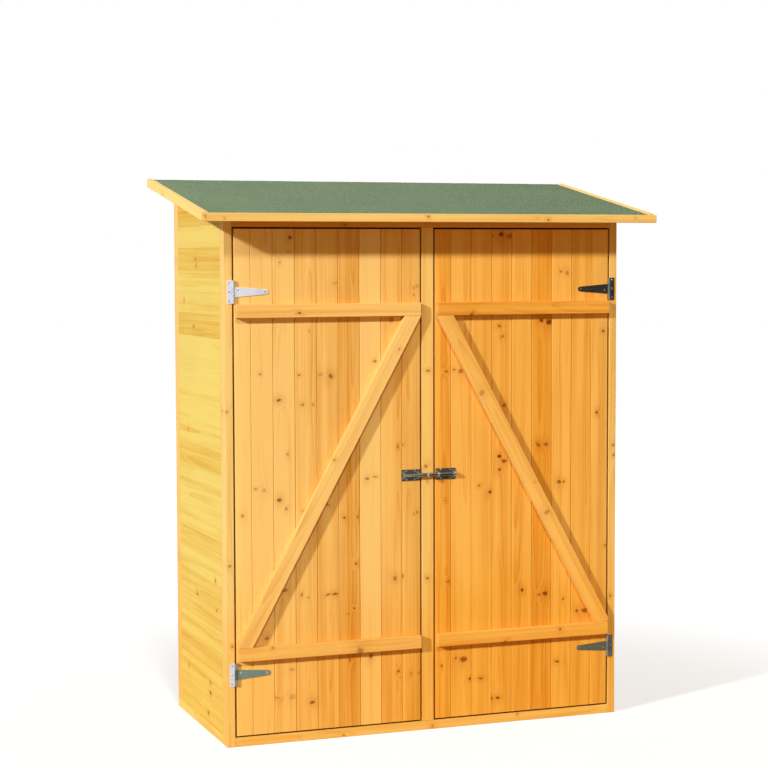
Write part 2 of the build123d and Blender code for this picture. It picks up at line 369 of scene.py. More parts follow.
def pine(name, pale, rich, stains):
    """Stained pine, whose rings, fibres and knots follow the marks on each board's mesh."""
    wood = Finish(name)
    trunk = wood.mark("grain")
    darkness, warmth, edge = wood.parts(wood.mark("tint"))
    foot = wood.step(wood.parts(wood.place())[2], 0.62, 0.10)
    _, across, depth = wood.parts(trunk)
    ragged = (wood.noise(trunk, 220.0) - 0.5) * 1.5

    cores = []
    hearts = []
    halos = []
    for number in range(KNOT_MARKS):
        lengthwise, crosswise, strength = wood.parts(wood.mark(f"knot_{number}"))
        distance = (lengthwise * lengthwise + crosswise * crosswise) ** 0.5 + ragged
        cores.append(wood.step(distance, 1.15, 0.55) * strength)
        hearts.append(wood.step(distance, 0.75, 0.15) * strength)
        spread = lengthwise * lengthwise * 0.07 + crosswise * crosswise * 0.20
        halos.append(wood.maths("EXPONENT", spread * -1.0) * strength)
    core = wood.larger(*cores)
    heart = wood.larger(*hearts)
    halo = wood.larger(*halos)
    push = halo * 0.006

    def wander(lengthwise, crosswise, detail=2.0):
        """Noise that runs slowly along the grain and faster across it."""
        return wood.noise(wood.stretched(trunk, lengthwise, crosswise, crosswise), 1.0, detail)

    ring_width = 0.0046
    drift = (wander(1.3, 9.0) - 0.5) * 0.02 + (wander(7.0, 45.0) - 0.5) * 0.0016
    radius = (across * across + depth * depth) ** 0.5 + push + drift
    crowd = wood.node("ShaderNodeTexNoise", {"noise_dimensions": "1D"}, {"W": radius * 55.0, "Scale": 1.0})
    ring = wood.maths("FRACT", radius / ring_width + crowd * 2.2)
    late = ring ** 2.4 * wood.step(ring, 1.0, 0.94)

    band = wood.step(wander(0.9, 42.0), 0.34, 0.70)
    streak = wood.step(wander(1.6, 130.0), 0.38, 0.72)
    cloud = wood.step(wander(4.5, 15.0), 0.3, 0.75)
    fibre = wander(9.0, 800.0, 3.0)
    rings = late * (band * 0.26 + 0.16)
    amount = rings + band * 0.30 + streak * 0.18 + cloud * 0.16 + fibre * 0.14 - 0.26
    tone = wood.node("ShaderNodeClamp", inputs={0: amount + darkness + foot * 0.10})
    body = wood.mix(tone, pale, rich)
    body = wood.mix(halo * 0.40 + late * darkness * 0.10, body, stains.deep)
    stain = wood.node("ShaderNodeClamp", inputs={0: warmth + foot * 0.5})
    body = wood.mix(stain, body, stains.warm, "MULTIPLY")
    # Sides darkened by the cut tinge as painted shade, ends further for their extra stain.
    body = wood.mix(edge, body, stains.cut, "MULTIPLY")
    knot = wood.mix(heart, stains.knot_rim, stains.knot_heart)
    wood.set(Base_Color=wood.mix(core, body, knot))
    wood.set(Roughness=fibre * 0.14 + 0.46 + core * 0.08, Specular_IOR_Level=0.08)
    wood.relief(late * 0.45 + fibre * 0.35 + core * 0.5, 0.0006, 0.35)
    return wood.material


def roofing_felt(stains):
    """Bitumen felt with green mineral grit, a little paler towards the shed's left."""
    felt = Finish("mineral_felt")
    place = felt.place()
    paler_leftward = felt.step(felt.parts(place)[0], 0.9, -0.9)
    cells = {"Vector": place, "Scale": 420.0}
    shade, chance, _ = felt.parts(felt.node("ShaderNodeTexVoronoi", {"feature": "F1"}, cells, output=1))
    gap = felt.node("ShaderNodeTexVoronoi", {"feature": "DISTANCE_TO_EDGE"}, cells)
    patches = felt.step(felt.noise(place, 4.0, 5.0), 0.3, 0.75)
    clumps = felt.step(felt.noise(place, 130.0, 3.0), 0.42, 0.70)
    wear = patches * 0.24 + shade * 0.30 + clumps * 0.26 + 0.38
    body = felt.mix(wear - paler_leftward * 0.54, stains.felt, stains.felt_dark)
    body = felt.mix(felt.step(chance, 0.86, 0.97) * 0.75, body, stains.felt_light)
    body = felt.mix(felt.step(gap, 0.10, 0.02) * 0.5, body, stains.felt_dark)
    felt.set(Base_Color=body, Roughness=0.92)
    felt.relief(felt.step(gap, 0.0, 0.25) + felt.noise(place, 55.0) * 0.4, 0.0009, 0.6)
    return felt.material


def plated(name, base, rough, stains):
    """Zinc-plated steel, a little cloudy, and, where its mesh is marked so, tarnished and darkened as a
    painted dark reflection, blue-green and yellowed.
    """
    steel = Finish(name)
    place = steel.place()
    tarnish_and_painted_reflection, cast, aged = steel.parts(steel.mark("tint"))
    cloud = steel.noise(place, 45.0, 2.0)
    brushed = steel.noise(steel.stretched(place, 60.0, 60.0, 900.0), 1.0, 2.0)
    # Tinged blue-green, partly the plating's own cast and partly a painted green reflection.
    body = steel.mix(cast * (brushed * 0.9 + 0.5), base, stains.passivate_and_green_reflection)
    # Darkened towards tarnish, partly real tarnish and partly painted dark reflection.
    body = steel.mix(tarnish_and_painted_reflection * (brushed * 0.5 + 0.72), body, stains.tarnish_and_dark_reflection)
    body = steel.mix(aged * (brushed * 0.5 + 0.72), body, stains.aged)
    shaded = steel.mix(1.0, body, (0.86, 0.86, 0.86), "MULTIPLY")
    steel.set(Base_Color=steel.mix(steel.step(cloud, 0.40, 0.75) * 0.6, body, shaded))
    steel.set(Metallic=1.0 - aged * 0.8, Roughness=cloud * 0.08 + brushed * 0.06 + rough)
    steel.relief(cloud * 0.5 + brushed * 0.5, 0.0001, 0.08)
    return steel.material


materials = {}


def make_materials(stains):
    """Make every finish of the shed once."""
    if materials:
        return
    materials["frame_timber"] = pine("frame_pine", stains.frame_pale, stains.frame_rich, stains)
    materials["roof_edge_timber"] = materials["frame_timber"]
    materials["wall_boards"] = pine("wall_pine", stains.wall_pale, stains.wall_rich, stains)
    materials["door_boards"] = pine("door_pine", stains.door_pale, stains.door_rich, stains)
    materials["door_ledges"] = materials["door_boards"]
    materials["roof_felt"] = roofing_felt(stains)
    materials["zinc_hinge"] = plated("zinc_plate", stains.zinc, 0.20, stains)
    materials["bolt_steel"] = plated("bolt_steel", stains.bolt, 0.20, stains)
    materials["bolt_rod_steel"] = plated("bolt_rod_steel", stains.rod, 0.12, stains)


def deselect():
    """Leave nothing selected, in object mode."""
    if bpy.context.object and bpy.context.object.mode != "OBJECT":
        bpy.ops.object.mode_set(mode="OBJECT")
    bpy.ops.object.select_all(action="DESELECT")


def pick(*pieces):
    """Select only these pieces, the first of them active."""
    deselect()
    for piece in pieces:
        piece.select_set(True)
    bpy.context.view_layer.objects.active = pieces[0]


def block(low, high):
    """A block between two corners."""
    deselect()
    low = Vector(low)
    high = Vector(high)
    bpy.ops.mesh.primitive_cube_add(size=1, location=(low + high) / 2, scale=high - low)
    bpy.ops.object.transform_apply()
    return bpy.context.object


def round_bar(start, end, radius, sides=24):
    """A round bar from one point to another."""
    deselect()
    start = Vector(start)
    end = Vector(end)
    turn = (end - start).to_track_quat("Z", "Y").to_euler()
    bpy.ops.mesh.primitive_cylinder_add(
        vertices=sides, radius=radius, depth=(end - start).length, location=(start + end) / 2, rotation=turn
    )
    bpy.ops.object.transform_apply()
    return bpy.context.object


def moved(piece, matrix):
    """Move or turn a piece, and keep its place in its mesh."""
    pick(piece)
    piece.matrix_world = matrix @ piece.matrix_world
    bpy.ops.object.transform_apply()
    return piece


def copied(piece, matrix):
    """A copy of a piece with its own mesh, moved or turned."""
    pick(piece)
    bpy.ops.object.duplicate()
    return moved(bpy.context.object, matrix)


def shift(x=0.0, y=0.0, z=0.0):
    """The matrix of a move."""
    return Matrix.Translation((x, y, z))


def joined(pieces):
    """Several pieces as one."""
    pick(*pieces)
    if len(pieces) > 1:
        bpy.ops.object.join()
    return bpy.context.object


def removed(piece):
    """Delete a piece that only served as a pattern."""
    bpy.data.objects.remove(piece)


def edit(piece, kind, test):
    """Edit a piece with only the edges or faces that pass a test selected."""
    pick(piece)
    bpy.ops.object.mode_set(mode="EDIT")
    bpy.ops.mesh.select_mode(type=kind)
    bpy.ops.mesh.select_all(action="DESELECT")
    mesh = bmesh.from_edit_mesh(piece.data)
    chosen = mesh.edges if kind == "EDGE" else mesh.faces
    for part in chosen:
        part.select_set(test(part))
    mesh.select_flush_mode()
    bmesh.update_edit_mesh(piece.data)


def done():
    """Go back from editing."""
    bpy.ops.object.mode_set(mode="OBJECT")


def extrude(piece, test, way):
    """Push out the faces of a piece that pass a test, and stay in edit mode."""
    edit(piece, "FACE", test)
    bpy.ops.mesh.extrude_region_move(TRANSFORM_OT_translate={"value": way})


def bevel(piece, test, width, segments):
    """Chamfer or round the edges of a piece that pass a test."""
    edit(piece, "EDGE", test)
    bpy.ops.mesh.bevel(offset=width, segments=segments, affect="EDGES")
    done()


def edge_runs(edge, direction):
    """Whether an edge runs along a direction."""
    start, end = (vertex.co for vertex in edge.verts)
    return abs((end - start).normalized().dot(direction)) > 0.999


def middle(part):
    """Middle of an edge or face."""
    return sum((vertex.co for vertex in part.verts), Vector()) / len(part.verts)


def divide(piece, along, section):
    """Cut a block's long edges into sections, with rings of vertices round it."""
    reach = [vertex.co.dot(along) for vertex in piece.data.vertices]
    cuts = int((max(reach) - min(reach)) / section)
    if cuts < 1:
        return
    edit(piece, "EDGE", lambda edge: edge_runs(edge, along))
    bpy.ops.mesh.subdivide(number_cuts=cuts)
    done()


def cut(piece, point, normal, keep=False):
    """Cut a piece by a plane, and drop what is beyond it unless it is kept."""
    edit(piece, "FACE", lambda face: True)
    bpy.ops.mesh.bisect(
        plane_co=point, plane_no=normal, use_fill=not keep, clear_outer=not keep, threshold=1e-6
    )
    done()


def soften(piece, width, segments=2):
    """Round the sharp edges of a piece."""
    pick(piece)
    bpy.ops.object.shade_smooth()
    rounding = piece.modifiers.new("Rounding", "BEVEL")
    rounding.width = width
    rounding.segments = segments
    rounding.limit_method = "ANGLE"
    rounding.angle_limit = SHARP
    rounding.harden_normals = True
    bpy.ops.object.modifier_apply(modifier=rounding.name)


def combine(piece, other, operation):
    """Fuse another solid with a piece, or take it away from it."""
    pick(piece)
    change = piece.modifiers.new("Combine", "BOOLEAN")
    change.object = other
    change.operation = operation
    change.solver = "EXACT"
    bpy.ops.object.modifier_apply(modifier=change.name)
    removed(other)
    return piece


def finished(piece, name, slot, body):
    """Name a piece, and give it its finish and the body that it belongs to."""
    piece.name = name
    piece.data.name = name
    piece.data.materials.clear()
    piece.data.materials.append(materials[slot])
    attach(piece, body)


def stand_for(piece, name, slot, node):
    """Finish a piece and let it stand for a node of the frame."""
    finished(piece, name, slot, frame["nodes"][node]["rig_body"])
    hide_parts(node)


def fasten(parts, name, body):
    """Finish nails or screws as one piece, which stands for no node."""
    finished(joined(parts), name, "bolt_steel", body)


class Knot:
    """A knot on a board's face: metres along and across it, its radius and how dark it is."""

    def __init__(self, along, across, radius, strength=None):
        self.along = along
        self.across = across
        self.radius = radius
        self.strength = strength

    def shape(self, chance):
        """Its numbers, with its outline and turn left to chance, and its darkness unless it is given."""
        width = chance.uniform(0.9, 2.0)
        height = chance.uniform(0.6, 1.5)
        turn = chance.gauss(0, 0.35)
        strength = chance.uniform(0.35, 0.90) if self.strength is None else self.strength
        return self.along, self.across, self.radius * width, self.radius * height, turn, strength


def chance_knots(chance, size, spacing):
    """Knots scattered on a board, single or in pairs."""
    knots = []
    along = chance.uniform(0.1, 1.0) * spacing
    while along < size[0]:
        radius = chance.uniform(0.0020, 0.0050)
        across = chance.uniform(0.12, 0.88) * size[1]
        knots.append(Knot(along, across, radius))
        if chance.random() < 0.35:
            beside = across + chance.choice((-1, 1)) * chance.uniform(0.012, 0.028)
            knots.append(Knot(along + chance.uniform(-0.01, 0.01), beside, radius * 0.8))
        along += chance.uniform(0.45, 1.6) * spacing
    return knots


def knots_at(places):
    """Knots from their millimetres along and across a board and their radii."""
    return [Knot(along / 1000, across / 1000, radius / 1000) for along, across, radius in places]


def write_mark(mesh, name, values):
    """Store a vector for every corner of a mesh's faces."""
    mark = mesh.attributes.new(name, "FLOAT_VECTOR", "CORNER")
    mark.data.foreach_set("vector", np.asarray(values, np.float32).ravel())


def grain(piece, name, along, face, knots=None, tone=0.0, warmth=0.0, knot_spacing=0.5, edge=0.3, rim=1.0):
    """Mark a board with the run of its grain, its tone and its knots.

    Along is the way the tree grew and face the board's best side. The seed is the board's name.
    Edge is painted shade on its other sides, its ends getting more for the stain that end grain takes, and
    rim the part of its warmth that the sides keep, set low to paint lit sides paler.
    """
    mesh = piece.data
    chance = random.Random(name)
    axes = np.array((along, along.cross(face), face))
    points = np.empty(len(mesh.vertices) * 3)
    mesh.vertices.foreach_get("co", points)
    points = points.reshape(-1, 3) @ axes.T
    low = points.min(0)
    size = points.max(0) - low
    corners = np.empty(len(mesh.loops), int)
    mesh.loops.foreach_get("vertex_index", corners)
    places = (points - low)[corners]

    pith = (chance.uniform(-0.35, 0.35) * size[1], chance.choice((-1, 1)) * chance.uniform(0.012, 0.06))
    lean = (chance.uniform(-0.008, 0.008), chance.uniform(-0.014, 0.014))
    marks = np.empty_like(places)
    marks[:, 0] = places[:, 0] + chance.uniform(0, 40)
    marks[:, 1] = places[:, 1] - size[1] / 2 - pith[0] + lean[0] * places[:, 0]
    marks[:, 2] = places[:, 2] - size[2] + pith[1] + lean[1] * places[:, 0]
    write_mark(mesh, "grain", marks)
    if knots is None:
        knots = chance_knots(chance, size, knot_spacing)
    counts = np.empty(len(mesh.polygons), int)
    mesh.polygons.foreach_get("loop_total", counts)
    faces = np.repeat(np.arange(len(counts)), counts)
    normals = np.empty(len(counts) * 3)
    mesh.polygons.foreach_get("normal", normals)
    turned = np.abs(normals.reshape(-1, 3) @ axes.T)
    facing = turned[:, 2] > 0.8
    # Sides take painted shade, ends extra stain.
    side_shade_and_end_stain = np.where(facing, 0.0, edge) + np.where(turned[:, 0] > 0.8, 0.5, 0.0)
    tint = np.empty_like(places)
    tint[:, 0] = tone
    tint[:, 1] = warmth * np.where(facing, 1.0, rim)[faces]
    tint[:, 2] = side_shade_and_end_stain[faces]
    write_mark(mesh, "tint", tint)
    nowhere = [Knot(-9.0, -9.0, 0.002, 0.0)] * KNOT_MARKS
    table = np.array([knot.shape(chance) for knot in [*knots, *nowhere]])
    mark_knots(mesh, places, faces, counts, table)
    return piece


def mark_knots(mesh, places, faces, counts, table):
    """Mark each face with its nearest knots: the place measured from each knot, and its darkness."""
    centres = np.stack([np.bincount(faces, places[:, axis]) / counts for axis in range(3)], 1)
    nearness = np.hypot((centres[:, None, 0] - table[:, 0]) / 2, centres[:, None, 1] - table[:, 1])
    nearest = np.argsort(nearness, axis=1)[:, :KNOT_MARKS]
    for number in range(KNOT_MARKS):
        knot = table[nearest[faces, number]]
        run = places[:, 0] - knot[:, 0]
        side = places[:, 1] - knot[:, 1]
        lengthwise = (run * np.cos(knot[:, 4]) + side * np.sin(knot[:, 4])) / knot[:, 3]
        crosswise = (side * np.cos(knot[:, 4]) - run * np.sin(knot[:, 4])) / knot[:, 2]
        write_mark(mesh, f"knot_{number}", np.stack((lengthwise, crosswise, knot[:, 5]), 1))


def matched_board(low, high, along, face, groove, joint, boards):
    """A board with its face edges chamfered and a tongue that fills the joint on its far side."""
    across = along.cross(face)
    low = Vector(low)
    high = Vector(high)
    spare = Vector(map(abs, across)) * joint
    if sum(across) > 0:
        board = block(low, high - spare)
    else:
        board = block(low + spare, high)
    divide(board, along, boards.section)
    surface = max(vertex.co.dot(face) for vertex in board.data.vertices)

    def on_face_edge(edge):
        return edge_runs(edge, along) and abs(middle(edge).dot(face) - surface) < 1e-6

    bevel(board, on_face_edge, groove, 1)
    thickness = abs((high - low).dot(face))
    edit(board, "FACE", lambda side: side.normal.dot(across) > 0.99)
    bpy.ops.mesh.inset(thickness=(thickness - boards.tongue) / 2 - groove / 2, use_boundary=True)
    bpy.ops.mesh.extrude_region_move(TRANSFORM_OT_translate={"value": across * joint})
    done()
    return board


def slope_normal(boards):
    """The way that the roof's upper side faces."""
    return Vector((0, -sin(boards.roof_pitch), cos(boards.roof_pitch)))


def slope_run(boards):
    """The way up the roof, from front to back."""
    return Vector((0, cos(boards.roof_pitch), sin(boards.roof_pitch)))


def under_roof():
    """A point on the underside of the roof boards."""
    low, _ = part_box("roof_boards")
    return Vector((0, low.y, low.z))


def on_slope(start, boards):
    """The matrix that lays a flat piece on the roof slope, with its origin at a start point."""
    return Matrix.Translation(start) @ Matrix.Rotation(boards.roof_pitch, 4, "X")


def slope_sizes(low, high, boards):
    """How far a sloping piece reaches up the roof, how much it rises and how thick it is, from its box."""
    depth = high.y - low.y
    rise = depth * tan(boards.roof_pitch)
    return depth / cos(boards.roof_pitch), rise, (high.z - low.z - rise) * cos(boards.roof_pitch)


class SHED_OT_frame_timbers(bpy.types.Operator):
    """Build the posts, sills, mullion, lintel, rails, rafters and bearers"""

    bl_idname = "shed.frame_timbers"
    bl_label = "Frame timbers"
    bl_options = {"REGISTER", "UNDO"}

    post_knots = {
        "front_left_post": ((957, 6, 4.5), (520, 11, 4.0), (290, 17, 3.0)),
        "front_right_post": ((820, 16, 4.0), (790, 17, 3.5), (360, 8, 3.0)),
    }
    bearers = 3

    def execute(self, context):
        make_materials(context.scene.shed_stains)
        boards = context.scene.shed_boards
        self.timbers(boards)
        self.rafters(boards)
        self.floor_bearers(boards)
        return {"FINISHED"}

    def timbers(self, boards):
        """Each timber with the run of its grain, its best side, its form, its tone and its warmth."""
        run = slope_run(boards)
        timbers = (
            ("front_left_post", UP, -BACK, "under", -0.08, 0.0),
            ("front_right_post", UP, -BACK, "under", 0.34, 0.0),
            ("back_left_post", UP, BACK, "under", 0.0, 0.0),
            ("back_right_post", UP, BACK, "under", 0.05, 0.0),
            ("front_sill", RIGHT, -BACK, "square", 0.0, 0.1),
            ("back_sill", RIGHT, BACK, "square", 0.05, 0.0),
            ("left_sill", BACK, -RIGHT, "square", -0.05, 0.0),
            ("right_sill", BACK, RIGHT, "square", 0.05, 0.0),
            ("mullion", UP, -BACK, "square", 0.04, 0.30),
            # The lintel's dark tone and strong warmth are painted shade from the roof above it.
            ("lintel", RIGHT, -BACK, "under", 0.50, 0.60),
            ("left_top_rail", run, RIGHT, "sloping", 0.0, 0.0),
            ("right_top_rail", run, -RIGHT, "sloping", 0.1, 0.0),
            ("back_top_rail", RIGHT, -BACK, "under", 0.05, 0.0),
            ("back_batten", UP, -BACK, "square", 0.0, 0.0),
        )
        for node, along, face, form, tone, warmth in timbers:
            piece = block(*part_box(node))
            self.shape(piece, node, along, form, boards)
            knots = knots_at(self.post_knots[node]) if node in self.post_knots else None
            grain(piece, node, along, face, knots, tone, warmth, knot_spacing=0.45)
            stand_for(piece, f"{node}_timber", "frame_timber", node)

    def rafters(self, boards):
        """A rafter under each end of the roof."""
        low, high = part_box("rafters")
        run = slope_run(boards)
        rafters = []
        for number, side in enumerate((low.x, high.x - boards.rafter)):
            rafter = block((side, low.y, low.z), (side + boards.rafter, high.y, high.z))
            self.shape(rafter, "rafters", run, "sloping", boards)
            rafters.append(grain(rafter, f"rafter_{number}", run, RIGHT))
        stand_for(joined(rafters), "rafters_timber", "frame_timber", "rafters")

    def floor_bearers(self, boards):
        """The bearers, spread evenly from the front to the back."""
        low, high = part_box("floor_bearers")
        spacing = (high.y - low.y - boards.bearer) / (self.bearers - 1)
        bearers = []
        for number in range(self.bearers):
            front = low.y + number * spacing
            bearer = block((low.x, front, low.z), (high.x, front + boards.bearer, high.z))
            divide(bearer, RIGHT, boards.section)
            soften(bearer, boards.eased)
            bearers.append(grain(bearer, f"bearer_{number}", RIGHT, UP))
        stand_for(joined(bearers), "floor_bearers_timber", "frame_timber", "floor_bearers")

    def shape(self, piece, node, along, form, boards):
        """Cut a timber to the roof slope where it meets it, and ease its edges."""
        normal = slope_normal(boards)
        low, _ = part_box(node)
        if form == "sloping":
            cut(piece, (0, low.y, low.z), -normal)
        if form != "square":
            cut(piece, under_roof(), normal)
        if form != "sloping":
            divide(piece, along, boards.section)
        soften(piece, boards.eased)


class SHED_OT_walls(bpy.types.Operator):
    """Build the two side walls and the back wall of matched boards"""

    bl_idname = "shed.walls"
    bl_label = "Walls"
    bl_options = {"REGISTER", "UNDO"}

    # The left wall: its boards' tones from the ground up, and its knots from its front foot, in millimetres.
    tones = (
        0.15, 0.05, -0.05, 0.10, -0.08, 0.16, 0.12, -0.02, 0.20, 0.02, -0.06, 0.04, 0.32,
        -0.06, -0.04, -0.12, -0.16, -0.12, 0.30, 0.10, 0.02, 0.38, -0.14, 0.34, 0.30,
    )
    knots = (
        (260, 1360, 3.5), (255, 1340, 4.5), (400, 1235, 3.0), (290, 1160, 3.0), (365, 850, 3.0),
        (60, 350, 3.0), (380, 130, 3.2), (135, 125, 3.6), (135, 95, 3.6), (160, 30, 3.4),
        (275, 360, 4.0), (70, 435, 3.2),
    )

    def execute(self, context):
        make_materials(context.scene.shed_stains)
        boards = context.scene.shed_boards
        walls = (
            ("left_wall", BACK, -RIGHT),
            ("right_wall", BACK, RIGHT),
            ("back_wall", RIGHT, BACK),
        )
        for node, along, face in walls:
            low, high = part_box(node)
            levels = [low.z, low.z + boards.wall_foot]
            while levels[-1] < high.z:
                levels.append(levels[-1] + boards.wall_width)
            pattern = self.pattern(low, high, levels[1], along, face, boards)
            pieces = []
            for number, (foot, top) in enumerate(zip(levels, levels[1:])):
                lift = top - boards.wall_width - levels[1]
                board = copied(pattern, shift(z=lift))
                if number == 0:
                    cut(board, (0, 0, foot), -UP)
                cut(board, under_roof(), slope_normal(boards))
                if len(board.data.vertices) == 0:
                    removed(board)
                    continue
                soften(board, boards.crisp, 1)
                knots = self.knots_between(node, foot, top, low.z)
                seed = f"{node}_{number}"
                chance = random.Random(seed)
                tone = self.tones[number] if node == "left_wall" else chance.uniform(-0.12, 0.32)
                warmth = max(0.0, tone) * 0.25
                pieces.append(grain(board, seed, along, face, knots, tone, warmth))
            removed(pattern)
            stand_for(joined(pieces), f"{node}_boards", "wall_boards", node)
        return {"FINISHED"}

    def pattern(self, low, high, foot, along, face, boards):
        """One full board of a wall, standing on a level."""
        start = Vector((low.x, low.y, foot))
        end = Vector((high.x, high.y, foot + boards.wall_width))
        return matched_board(start, end, along, face, boards.hairline, boards.wall_joint, boards)

    def knots_between(self, node, foot, top, wall_foot):
        """The left wall's own knots on one of its boards, or none to leave them to chance."""
        if node != "left_wall":
            return None
        dark = 1.3
        return [
            Knot(run / 1000, height / 1000 + wall_foot - foot, radius / 1000, dark)
            for run, height, radius in self.knots
            if foot <= height / 1000 + wall_foot < top
        ]


class SHED_OT_floor(bpy.types.Operator):
    """Build the floor boards"""

    bl_idname = "shed.floor"
    bl_label = "Floor"
    bl_options = {"REGISTER", "UNDO"}

    def execute(self, context):
        make_materials(context.scene.shed_stains)
        boards = context.scene.shed_boards
        low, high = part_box("floor_boards")
        first = Vector((low.x + boards.floor_width, high.y, high.z))
        pattern = matched_board(low, first, BACK, UP, boards.hairline, boards.wall_joint, boards)
        count = round((high.x - low.x) / boards.floor_width)
        pieces = []
        for number in range(count):
            seed = f"floor_board_{number}"
            board = copied(pattern, shift(x=number * (high.x - low.x) / count))
            soften(board, boards.crisp, 1)
            tone = random.Random(seed).uniform(-0.1, 0.3)
            pieces.append(grain(board, seed, BACK, UP, tone=tone))
        removed(pattern)
        stand_for(joined(pieces), "floor_boards_laid", "wall_boards", "floor_boards")
        return {"FINISHED"}


class SHED_OT_roof(bpy.types.Operator):
    """Build the roof boards, the barge boards and the fascia"""

    bl_idname = "shed.roof"
    bl_label = "Roof boards and edges"
    bl_options = {"REGISTER", "UNDO"}

    fascia_knots = (
        (5, 10, 4.2), (60, 15, 2.2), (1000, 10, 2.4), (1035, 16, 3.0), (1320, 10, 2.2), (660, 8, 2.0),
    )

    def execute(self, context):
        make_materials(context.scene.shed_stains)
        boards = context.scene.shed_boards
        self.boards_laid(boards)
        self.barge_boards(boards)
        self.fascia(boards)
        return {"FINISHED"}

    def fascia(self, boards):
        """The board along the eaves."""
        fascia = block(*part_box("fascia_board"))
        divide(fascia, RIGHT, boards.section)
        soften(fascia, boards.eased)
        knots = knots_at(self.fascia_knots)
        grain(fascia, "fascia", RIGHT, -BACK, knots, tone=0.1, warmth=0.1, edge=0.1)
        stand_for(fascia, "fascia_board_timber", "roof_edge_timber", "fascia_board")

    def boards_laid(self, boards):
        """Roof boards laid side by side up the slope, plumb cut at the eaves and at the back."""
        low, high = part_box("roof_boards")
        start = under_roof()
        reach, _, thickness = slope_sizes(low, high, boards)
        size = Vector((high.x - low.x, boards.roof_width, thickness))
        pattern = matched_board((0, 0, 0), size, RIGHT, -UP, boards.hairline, boards.wall_joint, boards)
        count = ceil(reach / boards.roof_width)
        slope = on_slope((low.x, start.y, start.z), boards)
        pieces = []
        for number in range(count):
            seed = f"roof_board_{number}"
            board = copied(pattern, slope @ shift(y=number * boards.roof_width))
            if number == 0:
                cut(board, start, -BACK)
            if number == count - 1:
                cut(board, (0, high.y, 0), BACK)
            soften(board, boards.crisp, 1)
            tone = random.Random(seed).uniform(-0.1, 0.25)
            pieces.append(grain(board, seed, RIGHT, -slope_normal(boards), tone=tone))
        removed(pattern)
        stand_for(joined(pieces), "roof_boards_laid", "wall_boards", "roof_boards")

    def barge_boards(self, boards):
        """The sloping boards that close the roof's ends."""
        margin = 0.03
        for node, face, tone in (("left_barge_board", -RIGHT, -0.35), ("right_barge_board", RIGHT, 0.1)):
            low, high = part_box(node)
            reach, _, thickness = slope_sizes(low, high, boards)
            start = Vector((0, low.y, low.z))
            barge = block((low.x, -margin, 0), (high.x, reach + margin, thickness))
            moved(barge, on_slope(start, boards))
            cut(barge, start, -BACK)
            cut(barge, (0, high.y, 0), BACK)
            soften(barge, boards.eased)
            grain(barge, node, slope_run(boards), face, tone=tone, knot_spacing=0.6, edge=0.0)
            stand_for(barge, f"{node}_timber", "roof_edge_timber", node)


class SHED_OT_felt(bpy.types.Operator):
    """Build the roofing felt with its clout nails"""

    bl_idname = "shed.felt"
    bl_label = "Roofing felt"
    bl_options = {"REGISTER", "UNDO"}

    def execute(self, context):
        make_materials(context.scene.shed_stains)
        boards = context.scene.shed_boards
        roof = context.scene.shed_roof
        low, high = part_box("roof_felt")
        width = high.x - low.x
        reach, rise, thickness = slope_sizes(low, high, boards)
        slope = on_slope((low.x, low.y, high.z - rise), boards)
        felt = self.sheet(width, reach, thickness, roof)
        moved(felt, slope)
        stand_for(felt, "roof_felt_sheet", "roof_felt", "roof_felt")

        nail = self.nail(roof)
        inset = roof.nail_inset
        across = round((width - 2 * inset) / roof.nail_spacing)
        places = [inset + k * (width - 2 * inset) / across for k in range(across + 1)]
        nails = [copied(nail, slope @ shift(x, reach - inset, -roof.ripple)) for x in places]
        removed(nail)
        fasten(nails, "roof_felt_nails", "shed")
        return {"FINISHED"}

    def sheet(self, width, reach, thickness, roof):
        """A sheet that is flat underneath and softly rippled on top, where it reaches height 0."""
        deselect()
        bpy.ops.mesh.primitive_grid_add(
            x_subdivisions=round(width / roof.mesh), y_subdivisions=round(reach / roof.mesh), size=1
        )
        sheet = bpy.context.object
        centre = shift(width / 2, reach / 2, -roof.ripple)
        sheet.matrix_world = centre @ Matrix.Diagonal((width, reach, 1, 1))
        bpy.ops.object.transform_apply()
        clouds = bpy.data.textures.new("ripple", "CLOUDS")
        clouds.noise_scale = roof.ripple_size
        ripple = sheet.modifiers.new("Ripple", "DISPLACE")
        ripple.texture = clouds
        ripple.texture_coords = "LOCAL"
        ripple.direction = "Z"
        ripple.strength = roof.ripple
        ripple.mid_level = 0.0
        bpy.ops.object.modifier_apply(modifier=ripple.name)
        extrude(sheet, lambda face: True, (0, 0, -thickness))
        bpy.ops.transform.resize(value=(1, 1, 0), center_override=(0, 0, roof.ripple * 0.1 - thickness))
        bpy.ops.mesh.select_all(action="SELECT")
        bpy.ops.mesh.normals_make_consistent(inside=False)
        done()
        bpy.ops.object.shade_smooth_by_angle(angle=SHARP)
        return sheet

    def nail(self, roof):
        """The head of a clout nail."""
        head = round_bar((0, 0, 0), (0, 0, roof.nail_height + roof.ripple), roof.nail_radius, 16)
        soften(head, roof.nail_height * 0.5, 2)
        return head


